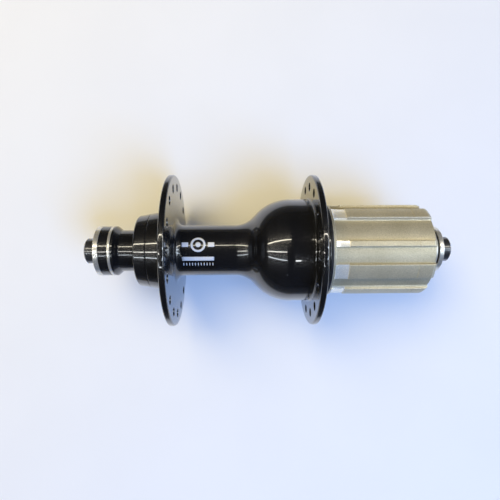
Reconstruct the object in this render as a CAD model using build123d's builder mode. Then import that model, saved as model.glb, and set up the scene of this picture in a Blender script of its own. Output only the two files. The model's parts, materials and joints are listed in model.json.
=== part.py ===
from build123d import *
from math import asin, atan2, cos, degrees, hypot, radians, sin, sqrt
import os

os.makedirs("parts", exist_ok=True)

# Rear bicycle hub for rim brakes, 32 spokes, with a nine-spline cassette body.
# Frame: the hub axis is Y, with +Y towards the non-drive side and -Y towards the cassette.
# +Z is up, +X is forward, and the origin is midway between the two dropout faces.
# Everything turned is drawn as (radius, y) in the XY plane and revolved about Y.
# Everything drawn across the axis uses angles counted from +Z towards +X.
# All sizes are in millimetres and degrees.

# ---- fits ----
press_gap = 0.01  # between a pressed or seated piece and its seat
running_gap = 0.06  # between a ball and its track
seal_gap = 0.10  # between a still seal lip and the race it wipes
labyrinth_gap = 0.25  # between pieces that turn past each other

# ---- axle ----
over_locknut = 130.0  # between the two dropout faces
axle_tip_length = 4.8  # beyond each dropout face, into the dropout
axle_tip_radius = 4.83
axle_thread_radius = 5.0  # under the rings and nuts of both ends
axle_thread_runout = 0.2  # the thread shows this far beyond each dropout face
axle_bore_radius = 2.65  # for a 5 mm quick-release skewer
axle_seat_radius = 6.0  # under the bearings
axle_collar_step = 1.2  # the thick middle stands this far above the seats, as a stop for the shell bearings
axle_tip_chamfer = 0.5
axle_bore_chamfer = 0.4
axle_shoulder_inset = 3.0  # how far the seat runs on under each end cap

# ---- hub shell ----
flange_radius = 28.8
flange_thickness = 2.2
flange_edge_round = 0.7
left_flange_y = 36.7  # middle of each flange
right_flange_y = -16.2
spoke_circle_radius = 24.2
spoke_hole_radius = 1.3
spoke_sink_radius = 1.75
spokes_per_flange = 16
barrel_radius = 9.67
barrel_clearance = 0.7  # between the barrel's bore and the axle's thick middle
barrel_root_round = 3.0
bell_radius = 19.62
bell_round = 18.0  # the convex arc of the bell
neck_round = 9.7  # the concave arc where the barrel opens into the bell
bell_crown_to_flange = 8.3  # from where the bell reaches its full radius to the right flange's middle
bell_root_round = 1.5
left_boss_length = 7.1
left_boss_wall = 2.2  # around the left bearing, at the boss's thin end
left_boss_flare = 1.3  # how much the boss widens down to the flange
left_boss_root_round = 0.8
right_boss_length = 3.0
right_boss_radius = 18.2
right_boss_root_round = 0.6
right_boss_end_chamfer = 0.3
shoulder_lip = 1.0  # length of the lip that each outer race stops against
lip_relief = 0.1  # each lip stands this far clear of the outer race's inner corner

# ---- cartridge bearings, all four alike ----
bearing_outer_radius = 12.0
bearing_width = 6.0
race_opening = 2.2  # between the two races, less than a ball's diameter
spacer_inset = 0.6  # spacers stop this far short of the inner races' rims
race_chamfer = 0.3
ball_radius = 1.75
balls_per_bearing = 11
bearing_seal_thickness = 0.5
bearing_seal_inset = 0.05
bearing_seal_overlap = 0.5  # how far each seal is let into the outer race
cage_half_width = 2.15
cage_gap = 0.4  # between the cage and each race

# ---- left end ----
end_ring_radius = 9.45
left_nut_thickness = 1.83
left_lock_ring_thickness = 3.36
left_washer_thickness = 1.0
left_cap_rim = 0.81
washer_chamfer = 0.15
lock_ring_chamfer = 0.12
left_cap_cone = 1.9
nut_edge_round = 0.45
dust_cap_length = 4.7
dust_cap_taper = 0.85  # how much the cap narrows from the shell to its face
dust_cap_edge_round = 0.8
dust_cap_spigot = 1.3

# ---- ratchet and pawls ----
ratchet_outer_radius = 16.0
ratchet_tip_radius = 13.5
ratchet_root_radius = 14.4
ratchet_length = 8.7
ratchet_teeth = 24
ratchet_backlash = 0.5  # degrees between a raised pawl and the tooth it drives
tooth_tip_width = 0.8  # degrees
tooth_root_width = 3.0  # degrees
ratchet_floor_gap = 0.3
ratchet_inset = 0.1  # the ring's open end stands this far inside the right flange's outer face
bearing_floor = 1.5  # between the ratchet's floor and the right bearing
pawl_count = 3
pawl_pivot_radius = 11.6
pawl_heel_radius = 1.55
pawl_tip_angle = 28.0  # from the pivot round to the tip of a raised pawl
pawl_raised_reach = 14.15
pawl_lowered_reach = 13.3
pawl_tip_thickness = 1.7
pawl_width = 7.0
pawl_side_gap = 0.3
pawl_first_angle = 20.0
pawl_spring_thickness = 0.25
pawl_spring_width = 4.0
pawl_spring_start = 1.9  # from the pivot, along the pocket
pawl_spring_end = 0.6  # short of the pawl's tip
pawl_spring_lift = 0.05  # off the pocket's floor
pocket_depth = 0.8  # below the pawl's heel
pocket_end_gap = 0.45  # beyond the pawl's tip
pocket_heel_gap = 0.08
pocket_floor_start = 1.2  # where the floor begins, from the pivot
pocket_mouth_start = 0.3
pocket_overcut = 3.0  # the pocket is cut out past the nose by this much

# ---- freehub body ----
nose_radius = 13.2
nose_clearance = 0.7  # between the nose's bore and the spacer inside it
neck_radius = 15.6  # the step that turns inside the shell's right boss
neck_gap = 0.5  # between the ratchet's open end and the neck's step
nose_gap = 0.2  # between the ratchet's floor end and the nose's face
shell_gap = 0.15  # between the shell's right end and the seal
freehub_seal_radius = 17.75
freehub_seal_thickness = 0.95
freehub_seal_chamfer = 0.2
collar_radius = 17.45
collar_thickness = 0.8
collar_bearing_inset = 0.2  # the inner freehub bearing starts this far under the collar
spline_radius = 17.3
spline_root_radius = 15.7
spline_length = 36.2
spline_pitch = 40.0
spline_width = 19.6
spline_first_centre = -28.3
narrow_spline_width = 7.2
narrow_spline_centre = 6.8
spline_edge_round = 0.2
spline_embed = 0.3  # each spline is rooted this deep in the body
relief_radius = 16.95
relief_length = 5.1
relief_run_in = 2.1
mark_line_from_end = 6.4
mark_line_width = 0.3
mark_line_depth = 0.18
spline_end_chamfer = 1.1
spline_end_drop = 0.6
lockring_bore_radius = 14.7
lockring_bore_length = 9.2
lockring_thread_pitch = 1.0
lockring_thread_depth = 0.35
lockring_thread_turns = 7
lockring_thread_width = 0.84  # of each groove's mouth, as a share of the pitch
cutter_margin = 0.5  # cutting outlines start this far outside the metal
circlip_thickness = 1.1
circlip_bite = 0.85  # how far the circlip's groove goes into the body
circlip_land = 1.05
circlip_band = 1.6
circlip_gap_angle = 34.0
circlip_lug_radius = 1.45
circlip_lug_step = 0.2  # how far each eye stands out past the ring's inner edge
circlip_hole_radius = 0.6

# ---- right end ----
right_cap_radius = 8.75
right_cap_step = 3.5
right_nut_thickness = 1.7
right_nut_chamfer = 0.5
right_washer_thickness = 0.6
right_washer_radius = 8.3
right_cap_edge = 0.3

# ---- places along the axis, worked out from the sizes above ----
face_y = over_locknut / 2
tip_y = face_y + axle_tip_length
thread_end_y = face_y + axle_thread_runout
left_flange_outer_y = left_flange_y + flange_thickness / 2
left_flange_inner_y = left_flange_y - flange_thickness / 2
right_flange_inner_y = right_flange_y + flange_thickness / 2
right_flange_outer_y = right_flange_y - flange_thickness / 2
shell_left_y = left_flange_outer_y + left_boss_length
shell_right_y = right_flange_outer_y - right_boss_length
left_bearing_y = shell_left_y - dust_cap_spigot - bearing_width / 2  # middle of each bearing
left_bearing_inner_y = left_bearing_y - bearing_width / 2
left_bearing_outer_y = left_bearing_y + bearing_width / 2
dust_cap_face_y = shell_left_y + dust_cap_length

seal_inner_y = shell_right_y - shell_gap
seal_outer_y = seal_inner_y - freehub_seal_thickness
spline_start_y = seal_outer_y - collar_thickness
freehub_end_y = spline_start_y - spline_length
ratchet_end_y = right_flange_outer_y + ratchet_inset
ratchet_start_y = ratchet_end_y + ratchet_length
ratchet_floor_y = ratchet_start_y + ratchet_floor_gap
right_bearing_y = ratchet_floor_y + bearing_floor + bearing_width / 2
right_bearing_inner_y = right_bearing_y + bearing_width / 2
right_bearing_outer_y = right_bearing_y - bearing_width / 2
neck_y = ratchet_end_y - neck_gap  # where the nose steps out to the neck
nose_y = ratchet_start_y - nose_gap
pawl_y = (nose_y + neck_y) / 2

freehub_inner_bearing_y = spline_start_y + collar_bearing_inset - bearing_width / 2
lockring_floor_y = freehub_end_y + lockring_bore_length
circlip_y = lockring_floor_y + circlip_land + circlip_thickness / 2
freehub_outer_bearing_y = circlip_y + circlip_thickness / 2 + bearing_width / 2
freehub_spacer_start_y = freehub_inner_bearing_y - bearing_width / 2
freehub_spacer_end_y = freehub_outer_bearing_y + bearing_width / 2
right_cap_start_y = freehub_outer_bearing_y - bearing_width / 2
right_nut_y = -face_y + right_nut_thickness
right_washer_y = right_nut_y + right_washer_thickness

left_shoulder_y = left_bearing_outer_y + axle_shoulder_inset
right_shoulder_y = right_cap_start_y - axle_shoulder_inset
left_washer_y = face_y - left_nut_thickness - left_lock_ring_thickness - left_washer_thickness

axle_collar_radius = axle_seat_radius + axle_collar_step
barrel_bore_radius = axle_collar_radius + barrel_clearance
left_boss_end_radius = bearing_outer_radius + left_boss_wall
left_boss_root_radius = left_boss_end_radius + left_boss_flare
dust_cap_face_radius = left_boss_end_radius - dust_cap_taper
race_thickness = (bearing_outer_radius - axle_seat_radius - race_opening) / 2
inner_race_radius = axle_seat_radius + race_thickness
outer_race_radius = bearing_outer_radius - race_thickness
pitch_radius = (axle_seat_radius + bearing_outer_radius) / 2
cage_thickness = outer_race_radius - inner_race_radius - 2 * cage_gap
spacer_radius = inner_race_radius - spacer_inset
nose_bore_radius = spacer_radius + nose_clearance
sleeve_radius = inner_race_radius  # end caps and spacers bear on the inner races alone
seat_radius = bearing_outer_radius + press_gap
lip_radius = outer_race_radius - lip_relief  # lips and spacers bear on the outer races alone
cap_seat_bore = axle_seat_radius + press_gap
cap_thread_bore = axle_thread_radius + press_gap
dust_cap_bore = sleeve_radius + labyrinth_gap

# ---- pawl geometry about its pivot: t runs forwards along the rim, n outwards ----
raised_t = pawl_raised_reach * sin(radians(pawl_tip_angle))
raised_n = pawl_raised_reach * cos(radians(pawl_tip_angle)) - pawl_pivot_radius
pawl_length = hypot(raised_t, raised_n)


def tip_rise(reach):
    """How far out of the pivot's tangent the pawl's tip stands when it reaches this radius."""
    return (reach**2 - pawl_pivot_radius**2 - pawl_length**2) / (2 * pawl_pivot_radius)


def tip_angle(reach):
    """Angle from the pivot round to the pawl's tip when it reaches this radius."""
    rise = tip_rise(reach)
    return degrees(atan2(sqrt(pawl_length**2 - rise**2), pawl_pivot_radius + rise))


pawl_swing = degrees(
    asin(raised_n / pawl_length) - asin(tip_rise(pawl_lowered_reach) / pawl_length)
)


def polar(radius, angle):
    """A point in a plane across the axis."""
    return (radius * cos(radians(angle)), radius * sin(radians(angle)))


def across(y):
    """The plane square to the axis at y, whose normal is +Y and whose first axis is +Z."""
    return Plane.ZX.offset(y)


def save(piece, name):
    piece.part.label = name
    export_step(piece.part, f"parts/{name}.step")


def turned(name, *outline):
    """A piece turned from one outline of (radius, y) corners."""
    with BuildPart() as piece:
        with BuildSketch(Plane.XY):
            with BuildLine():
                Polyline(*outline, close=True)
            make_face()
        revolve(axis=Axis.Y)
    save(piece, name)


def sleeve(name, inner, outer, low_y, high_y, edge=0.0):
    """A plain ring or spacer, with its outer corners chamfered by edge."""
    with BuildPart() as piece:
        with BuildSketch(Plane.XY):
            with BuildLine():
                Polyline((inner, low_y), (outer, low_y), (outer, high_y), (inner, high_y), close=True)
            make_face()
        revolve(axis=Axis.Y)
        if edge:
            rims = piece.edges().filter_by(GeomType.CIRCLE).filter_by(lambda e: e.radius > outer - 0.01)
            chamfer(rims, edge)
    save(piece, name)


def sector(inner, outer, start, end):
    """A piece of a ring in the sketch being drawn."""
    middle = (start + end) / 2
    with BuildLine() as outline:
        ThreePointArc(polar(inner, start), polar(inner, middle), polar(inner, end))
        Line(polar(inner, end), polar(outer, end))
        ThreePointArc(polar(outer, end), polar(outer, middle), polar(outer, start))
        Line(polar(outer, start), polar(inner, start))
    make_face(outline.edges())


# ---- axle: tips, bearing seats and a thick collar between the shell bearings ----
def make_axle():
    bore = axle_bore_radius
    tip = axle_tip_radius
    with BuildPart() as axle:
        with BuildSketch(Plane.XY):
            with BuildLine():
                Polyline(
                    (bore, -tip_y),
                    (tip, -tip_y),
                    (tip, -thread_end_y),
                    (axle_thread_radius, -thread_end_y),
                    (axle_thread_radius, right_shoulder_y),
                    (axle_seat_radius, right_shoulder_y),
                    (axle_seat_radius, right_bearing_inner_y),
                    (axle_collar_radius, right_bearing_inner_y),
                    (axle_collar_radius, left_bearing_inner_y),
                    (axle_seat_radius, left_bearing_inner_y),
                    (axle_seat_radius, left_shoulder_y),
                    (axle_thread_radius, left_shoulder_y),
                    (axle_thread_radius, thread_end_y),
                    (tip, thread_end_y),
                    (tip, tip_y),
                    (bore, tip_y),
                    close=True,
                )
            make_face()
        revolve(axis=Axis.Y)
        ends = axle.faces().filter_by(Axis.Y).sort_by(Axis.Y)
        rims = (ends[0].edges() + ends[-1].edges()).filter_by(GeomType.CIRCLE)
        chamfer(rims.filter_by(lambda e: e.radius > bore + 0.5), axle_tip_chamfer)
        mouths = axle.edges().filter_by(GeomType.CIRCLE).filter_by(lambda e: e.radius < bore + 0.01)
        chamfer(mouths, axle_bore_chamfer)
    save(axle, "axle")


# ---- hub shell: boss, flange, barrel, bell, flange, boss, bored out for the bearings and ratchet ----
def bell_arcs():
    """Points where the barrel, the neck arc, the bell arc and the bell's cylinder meet, in turn."""
    crown_y = right_flange_y + bell_crown_to_flange
    bell_centre = Vector(bell_radius - bell_round, crown_y)
    neck_centre_radius = barrel_radius + neck_round
    reach = bell_round + neck_round
    arc_start_y = crown_y + sqrt(reach**2 - (neck_centre_radius - bell_centre.X) ** 2)
    neck_centre = Vector(neck_centre_radius, arc_start_y)
    join = bell_centre + (neck_centre - bell_centre) * (bell_round / reach)
    return Vector(barrel_radius, arc_start_y), join, Vector(bell_radius, crown_y)


def make_shell():
    neck_start, arc_join, crown = bell_arcs()
    bore_start_y = right_bearing_inner_y + shoulder_lip + lip_radius - barrel_bore_radius
    with BuildPart() as shell:
        with BuildSketch(Plane.XY):
            with BuildLine():
                Polyline(
                    (seat_radius, shell_left_y),
                    (left_boss_end_radius, shell_left_y),
                    (left_boss_root_radius, left_flange_outer_y),
                    (flange_radius, left_flange_outer_y),
                    (flange_radius, left_flange_inner_y),
                    (barrel_radius, left_flange_inner_y),
                    neck_start,
                )
                TangentArc(neck_start, arc_join, tangent=(0, -1))
                TangentArc(crown, arc_join, tangent=(0, 1))
                Polyline(
                    crown,
                    (bell_radius, right_flange_inner_y),
                    (flange_radius, right_flange_inner_y),
                    (flange_radius, right_flange_outer_y),
                    (right_boss_radius, right_flange_outer_y),
                    (right_boss_radius, shell_right_y),
                    (ratchet_outer_radius + press_gap, shell_right_y),
                    (ratchet_outer_radius + press_gap, ratchet_floor_y),
                    (seat_radius, ratchet_floor_y),
                    (seat_radius, right_bearing_inner_y),
                    (lip_radius, right_bearing_inner_y),
                    (lip_radius, right_bearing_inner_y + shoulder_lip),
                    (barrel_bore_radius, bore_start_y),
                    (barrel_bore_radius, left_bearing_inner_y - shoulder_lip),
                    (lip_radius, left_bearing_inner_y - shoulder_lip),
                    (lip_radius, left_bearing_inner_y),
                    (seat_radius, left_bearing_inner_y),
                    (seat_radius, shell_left_y),
                )
            make_face()
        revolve(axis=Axis.Y)

        def rings(radius, y):
            """Circular edges of this radius at this place along the axis."""
            circles = shell.edges().filter_by(GeomType.CIRCLE)
            return circles.filter_by(
                lambda e: abs(e.radius - radius) < 0.01 and abs(e.arc_center.Y - y) < 0.01
            )

        fillet(rings(barrel_radius, left_flange_inner_y), barrel_root_round)
        fillet(rings(bell_radius, right_flange_inner_y), bell_root_round)
        fillet(rings(left_boss_root_radius, left_flange_outer_y), left_boss_root_round)
        fillet(rings(right_boss_radius, right_flange_outer_y), right_boss_root_round)
        for y in (left_flange_outer_y, left_flange_inner_y, right_flange_inner_y, right_flange_outer_y):
            fillet(rings(flange_radius, y), flange_edge_round)
        chamfer(rings(right_boss_radius, shell_right_y), right_boss_end_chamfer)
        half_step = 180 / spokes_per_flange
        sides = (
            (left_flange_outer_y, left_flange_inner_y, 0),
            (right_flange_inner_y, right_flange_outer_y, half_step),
        )
        for left_face, right_face, start in sides:
            with Locations(Plane.ZX.offset(left_face)):
                with PolarLocations(spoke_circle_radius, spokes_per_flange, start_angle=start):
                    CounterSinkHole(spoke_hole_radius, spoke_sink_radius, depth=flange_thickness)
            with Locations(Plane.XZ.offset(-right_face)):
                with PolarLocations(spoke_circle_radius, spokes_per_flange, start_angle=90 - start):
                    CounterSinkHole(spoke_hole_radius, spoke_sink_radius, depth=flange_thickness)
    save(shell, "hub_shell")


# ---- one cartridge bearing: two races, balls, cage and two seals ----
def make_bearing(name, y):
    low = y - bearing_width / 2
    high = y + bearing_width / 2
    track_radius = ball_radius + running_gap
    seal_rim = outer_race_radius + bearing_seal_overlap
    seal_depth = bearing_seal_thickness + bearing_seal_inset

    with BuildPart() as inner_race:
        with BuildSketch(Plane.XY):
            with BuildLine():
                Polyline(
                    (axle_seat_radius + press_gap, low),
                    (inner_race_radius, low),
                    (inner_race_radius, high),
                    (axle_seat_radius + press_gap, high),
                    close=True,
                )
            make_face()
        revolve(axis=Axis.Y)
        bore_rims = inner_race.edges().filter_by(GeomType.CIRCLE)
        chamfer(bore_rims.filter_by(lambda e: e.radius < axle_seat_radius + 0.1), race_chamfer)
        with BuildSketch(Plane.XY):
            with Locations((pitch_radius, y)):
                Circle(track_radius)
        revolve(axis=Axis.Y, mode=Mode.SUBTRACT)
    save(inner_race, f"{name}_inner_race")

    with BuildPart() as outer_race:
        with BuildSketch(Plane.XY):
            with BuildLine():
                Polyline(
                    (seal_rim, low),
                    (bearing_outer_radius, low),
                    (bearing_outer_radius, high),
                    (seal_rim, high),
                    (seal_rim, high - seal_depth),
                    (outer_race_radius, high - seal_depth),
                    (outer_race_radius, low + seal_depth),
                    (seal_rim, low + seal_depth),
                    close=True,
                )
            make_face()
        revolve(axis=Axis.Y)
        outside = outer_race.edges().filter_by(GeomType.CIRCLE)
        chamfer(outside.filter_by(lambda e: e.radius > bearing_outer_radius - 0.01), race_chamfer)
        with BuildSketch(Plane.XY):
            with Locations((pitch_radius, y)):
                Circle(track_radius)
        revolve(axis=Axis.Y, mode=Mode.SUBTRACT)
    save(outer_race, f"{name}_outer_race")

    with BuildPart() as seals:
        for seal_low in (low + bearing_seal_inset, high - seal_depth):
            with BuildSketch(across(seal_low)):
                Circle(seal_rim - press_gap)
                Circle(inner_race_radius + seal_gap, mode=Mode.SUBTRACT)
            extrude(amount=bearing_seal_thickness)
    save(seals, f"{name}_seals")

    with BuildPart() as balls:
        with Locations(across(y)):
            with PolarLocations(pitch_radius, balls_per_bearing):
                Sphere(ball_radius)
    save(balls, f"{name}_balls")

    with BuildPart() as cage:
        with BuildSketch(across(y)):
            Circle(pitch_radius + cage_thickness / 2)
            Circle(pitch_radius - cage_thickness / 2, mode=Mode.SUBTRACT)
        extrude(amount=cage_half_width, both=True)
        with Locations(across(y)):
            with PolarLocations(pitch_radius, balls_per_bearing):
                Cylinder(track_radius, 3 * cage_thickness, rotation=(0, 90, 0), mode=Mode.SUBTRACT)
    save(cage, f"{name}_cage")


# ---- left end: dust cap in the shell, and the stack of rings on the axle ----
def make_left_end():
    with BuildPart() as dust_cap:
        with BuildSketch(Plane.XY):
            with BuildLine():
                Polyline(
                    (dust_cap_bore, shell_left_y),
                    (dust_cap_bore, dust_cap_face_y),
                    (dust_cap_face_radius, dust_cap_face_y),
                    (left_boss_end_radius, shell_left_y),
                    (bearing_outer_radius, shell_left_y),
                    (bearing_outer_radius, left_bearing_outer_y),
                    (lip_radius, left_bearing_outer_y),
                    (lip_radius, shell_left_y),
                    close=True,
                )
            make_face()
        revolve(axis=Axis.Y)
        face = dust_cap.faces().filter_by(Axis.Y).sort_by(Axis.Y)[-1]
        rim = face.edges().filter_by(GeomType.CIRCLE).filter_by(lambda e: e.radius > dust_cap_bore + 1)
        fillet(rim, dust_cap_edge_round)
    save(dust_cap, "left_dust_cap")

    cone_top = left_washer_y - left_cap_rim
    turned(
        "left_end_cap",
        (cap_seat_bore, left_bearing_outer_y),
        (sleeve_radius, left_bearing_outer_y),
        (sleeve_radius, cone_top - left_cap_cone),
        (end_ring_radius, cone_top),
        (end_ring_radius, left_washer_y),
        (cap_thread_bore, left_washer_y),
        (cap_thread_bore, left_shoulder_y),
        (cap_seat_bore, left_shoulder_y),
    )
    lock_ring_y = left_washer_y + left_washer_thickness
    left_nut_y = face_y - left_nut_thickness
    sleeve("left_washer", cap_thread_bore, end_ring_radius, left_washer_y, lock_ring_y, washer_chamfer)
    sleeve("left_lock_ring", cap_thread_bore, end_ring_radius, lock_ring_y, left_nut_y, lock_ring_chamfer)
    with BuildPart() as nut:
        with BuildSketch(across(left_nut_y)):
            Circle(end_ring_radius)
            Circle(cap_thread_bore, mode=Mode.SUBTRACT)
        extrude(amount=left_nut_thickness)
        face = nut.faces().filter_by(Axis.Y).sort_by(Axis.Y)[-1]
        rim = face.edges().filter_by(lambda e: e.radius > cap_thread_bore + 1)
        fillet(rim, nut_edge_round)
    save(nut, "left_dropout_nut")


# ---- ratchet ring: saw teeth inside, whose driving faces follow the path of the pawls' tips ----
def make_ratchet():
    pitch = 360 / ratchet_teeth
    face_tip = pawl_first_angle + tip_angle(ratchet_tip_radius) + ratchet_backlash
    face_root = pawl_first_angle + tip_angle(ratchet_root_radius) + ratchet_backlash
    corners = []
    for tooth in range(ratchet_teeth):
        turn = tooth * pitch
        corners += [
            polar(ratchet_root_radius, face_root - tooth_root_width + turn),
            polar(ratchet_root_radius, face_root + turn),
            polar(ratchet_tip_radius, face_tip + turn),
            polar(ratchet_tip_radius, face_tip + tooth_tip_width + turn),
        ]
    with BuildPart() as ratchet:
        with BuildSketch(across(ratchet_end_y)):
            Circle(ratchet_outer_radius)
            with BuildLine():
                Polyline(*corners, close=True)
            make_face(mode=Mode.SUBTRACT)
        extrude(amount=ratchet_length)
    save(ratchet, "ratchet_ring")


# ---- pawls, drawn about the pivot as they lie when lowered ----
def lowered(t, n, heel_angle):
    """A point of a raised pawl, carried to where it lies when lowered, in a plane across the axis."""
    swing = radians(pawl_swing)
    low_t = t * cos(swing) + n * sin(swing)
    low_n = n * cos(swing) - t * sin(swing)
    return beside_pivot(low_t, low_n, heel_angle)


def beside_pivot(t, n, heel_angle):
    """A point t along the rim and n outwards from a pawl's pivot, in a plane across the axis."""
    radius = hypot(pawl_pivot_radius + n, t)
    return polar(radius, heel_angle + degrees(atan2(t, pawl_pivot_radius + n)))


def make_pawl(number):
    heel = pawl_first_angle + (number - 1) * 360 / pawl_count
    lean_t = raised_n / pawl_length
    lean_n = -raised_t / pawl_length
    arm = (
        (0, pawl_heel_radius),
        (raised_t, raised_n),
        (raised_t + pawl_tip_thickness * lean_t, raised_n + pawl_tip_thickness * lean_n),
        (0, -pawl_heel_radius),
    )
    with BuildPart() as pawl:
        with BuildSketch(across(pawl_y)):
            with Locations(polar(pawl_pivot_radius, heel)):
                Circle(pawl_heel_radius)
            with BuildLine():
                Polyline(*[lowered(t, n, heel) for t, n in arm], close=True)
            make_face()
        extrude(amount=pawl_width / 2, both=True)
    save(pawl, f"pawl_{number}")


pocket_floor_n = -pawl_heel_radius - pocket_depth
pocket_end_t = pawl_length + pocket_end_gap
heel_pocket_radius = pawl_heel_radius + pocket_heel_gap


def pawl_pocket(heel):
    """The outline of one pawl's pocket, in the sketch being drawn."""
    outside = nose_radius - pawl_pivot_radius + pocket_overcut
    corners = (
        (0, -heel_pocket_radius),
        (pocket_floor_start, pocket_floor_n),
        (pocket_end_t, pocket_floor_n),
        (pocket_end_t, outside),
        (pocket_mouth_start, outside),
        (0, 0),
    )
    with Locations(polar(pawl_pivot_radius, heel)):
        Circle(heel_pocket_radius)
    with BuildLine() as outline:
        Polyline(*[beside_pivot(t, n, heel) for t, n in corners], close=True)
    make_face(outline.edges())


def make_pawl_springs():
    low = pocket_floor_n + pawl_spring_lift
    high = low + pawl_spring_thickness
    start = pawl_spring_start
    end = pawl_length - pawl_spring_end
    strip = ((start, low), (end, low), (end, high), (start, high))
    with BuildPart() as springs:
        with BuildSketch(across(pawl_y)):
            for number in range(pawl_count):
                heel = pawl_first_angle + number * 360 / pawl_count
                with BuildLine():
                    Polyline(*[beside_pivot(t, n, heel) for t, n in strip], close=True)
                make_face()
        extrude(amount=pawl_spring_width / 2, both=True)
    save(springs, "pawl_springs")


# ---- freehub body: nose with pawl pockets, collar, nine splines, bearing bore and lockring bore ----
def spline_sectors():
    """Start and end angle of each raised spline: eight alike and one narrow."""
    sectors = [
        (spline_first_centre + k * spline_pitch - spline_width / 2,
         spline_first_centre + k * spline_pitch + spline_width / 2)
        for k in range(9)
        if k != 1
    ]
    half = narrow_spline_width / 2
    return sectors + [(narrow_spline_centre - half, narrow_spline_centre + half)]


def make_freehub_body():
    seat_start_y = freehub_inner_bearing_y + bearing_width / 2
    groove_radius = bearing_outer_radius + circlip_bite
    groove_half = circlip_thickness / 2 + press_gap
    with BuildPart() as body:
        with BuildSketch(Plane.XY):
            with BuildLine():
                Polyline(
                    (nose_bore_radius, nose_y),
                    (nose_radius, nose_y),
                    (nose_radius, neck_y),
                    (neck_radius, neck_y),
                    (neck_radius, seal_outer_y),
                    (collar_radius, seal_outer_y),
                    (collar_radius, spline_start_y),
                    (spline_root_radius, spline_start_y),
                    (spline_root_radius, freehub_end_y),
                    (lockring_bore_radius, freehub_end_y),
                    (lockring_bore_radius, lockring_floor_y),
                    (seat_radius, lockring_floor_y),
                    (seat_radius, circlip_y - groove_half),
                    (groove_radius, circlip_y - groove_half),
                    (groove_radius, circlip_y + groove_half),
                    (seat_radius, circlip_y + groove_half),
                    (seat_radius, seat_start_y),
                    (lip_radius, seat_start_y),
                    (lip_radius, seat_start_y + shoulder_lip),
                    (nose_bore_radius, seat_start_y + shoulder_lip),
                    close=True,
                )
            make_face()
        revolve(axis=Axis.Y)
        with BuildSketch(across(freehub_end_y)):
            for start, end in spline_sectors():
                sector(spline_root_radius - spline_embed, spline_radius, start, end)
        extrude(amount=spline_length)
        corners = body.edges().filter_by(Axis.Y)
        corners = corners.filter_by(lambda e: hypot(e.center().X, e.center().Z) > spline_radius - 0.01)
        fillet(corners, spline_edge_round)
        with BuildSketch(Plane.XY):
            relief_end_y = spline_start_y - relief_length
            run_in_y = spline_start_y - relief_run_in
            outside = spline_radius + cutter_margin
            with BuildLine():
                Line((outside, relief_end_y), (relief_radius, relief_end_y))
                Line((relief_radius, relief_end_y), (relief_radius, run_in_y))
                TangentArc((relief_radius, run_in_y), (spline_radius, spline_start_y), tangent=(0, 1))
                Line((spline_radius, spline_start_y), (outside, spline_start_y))
                Line((outside, spline_start_y), (outside, relief_end_y))
            make_face()
            mark_y = freehub_end_y + mark_line_from_end
            with Locations((spline_radius, mark_y)):
                Rectangle(2 * mark_line_depth, mark_line_width)
            with BuildLine():
                Polyline(
                    (spline_radius - spline_end_drop, freehub_end_y - cutter_margin),
                    (spline_radius - spline_end_drop, freehub_end_y),
                    (spline_radius, freehub_end_y + spline_end_chamfer),
                    (spline_radius + cutter_margin, freehub_end_y + spline_end_chamfer),
                    (spline_radius + cutter_margin, freehub_end_y - cutter_margin),
                    close=True,
                )
            make_face()
            for turn in range(lockring_thread_turns):
                crest_y = freehub_end_y + (turn + 1) * lockring_thread_pitch
                half = lockring_thread_pitch * lockring_thread_width / 2
                with BuildLine():
                    Polyline(
                        (lockring_bore_radius - cutter_margin, crest_y - half),
                        (lockring_bore_radius, crest_y - half),
                        (lockring_bore_radius + lockring_thread_depth, crest_y),
                        (lockring_bore_radius, crest_y + half),
                        (lockring_bore_radius - cutter_margin, crest_y + half),
                        close=True,
                    )
                make_face()
        revolve(axis=Axis.Y, mode=Mode.SUBTRACT)
        with BuildSketch(across(pawl_y)):
            for number in range(pawl_count):
                pawl_pocket(pawl_first_angle + number * 360 / pawl_count)
        extrude(amount=pawl_width / 2 + pawl_side_gap, both=True, mode=Mode.SUBTRACT)
    save(body, "freehub_body")


# ---- internal circlip: an open ring with two eyes, sprung into the freehub body's groove ----
def make_circlip():
    outer = bearing_outer_radius + circlip_bite - press_gap
    inner = outer - circlip_band
    lug_circle = inner + circlip_lug_step - circlip_lug_radius / 2
    half_gap = circlip_gap_angle / 2
    lug_angle = half_gap + degrees(circlip_lug_radius / lug_circle)
    with BuildPart() as circlip:
        with BuildSketch(across(circlip_y)):
            Circle(outer)
            Circle(inner, mode=Mode.SUBTRACT)
            for side in (-1, 1):
                with Locations(polar(lug_circle, side * lug_angle)):
                    Circle(circlip_lug_radius)
            with BuildLine():
                Polyline((0, 0), polar(outer + 2, -half_gap), polar(outer + 2, half_gap), close=True)
            make_face(mode=Mode.SUBTRACT)
            for side in (-1, 1):
                with Locations(polar(lug_circle, side * lug_angle)):
                    Circle(circlip_hole_radius, mode=Mode.SUBTRACT)
        extrude(amount=circlip_thickness / 2, both=True)
    save(circlip, "freehub_circlip")


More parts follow.
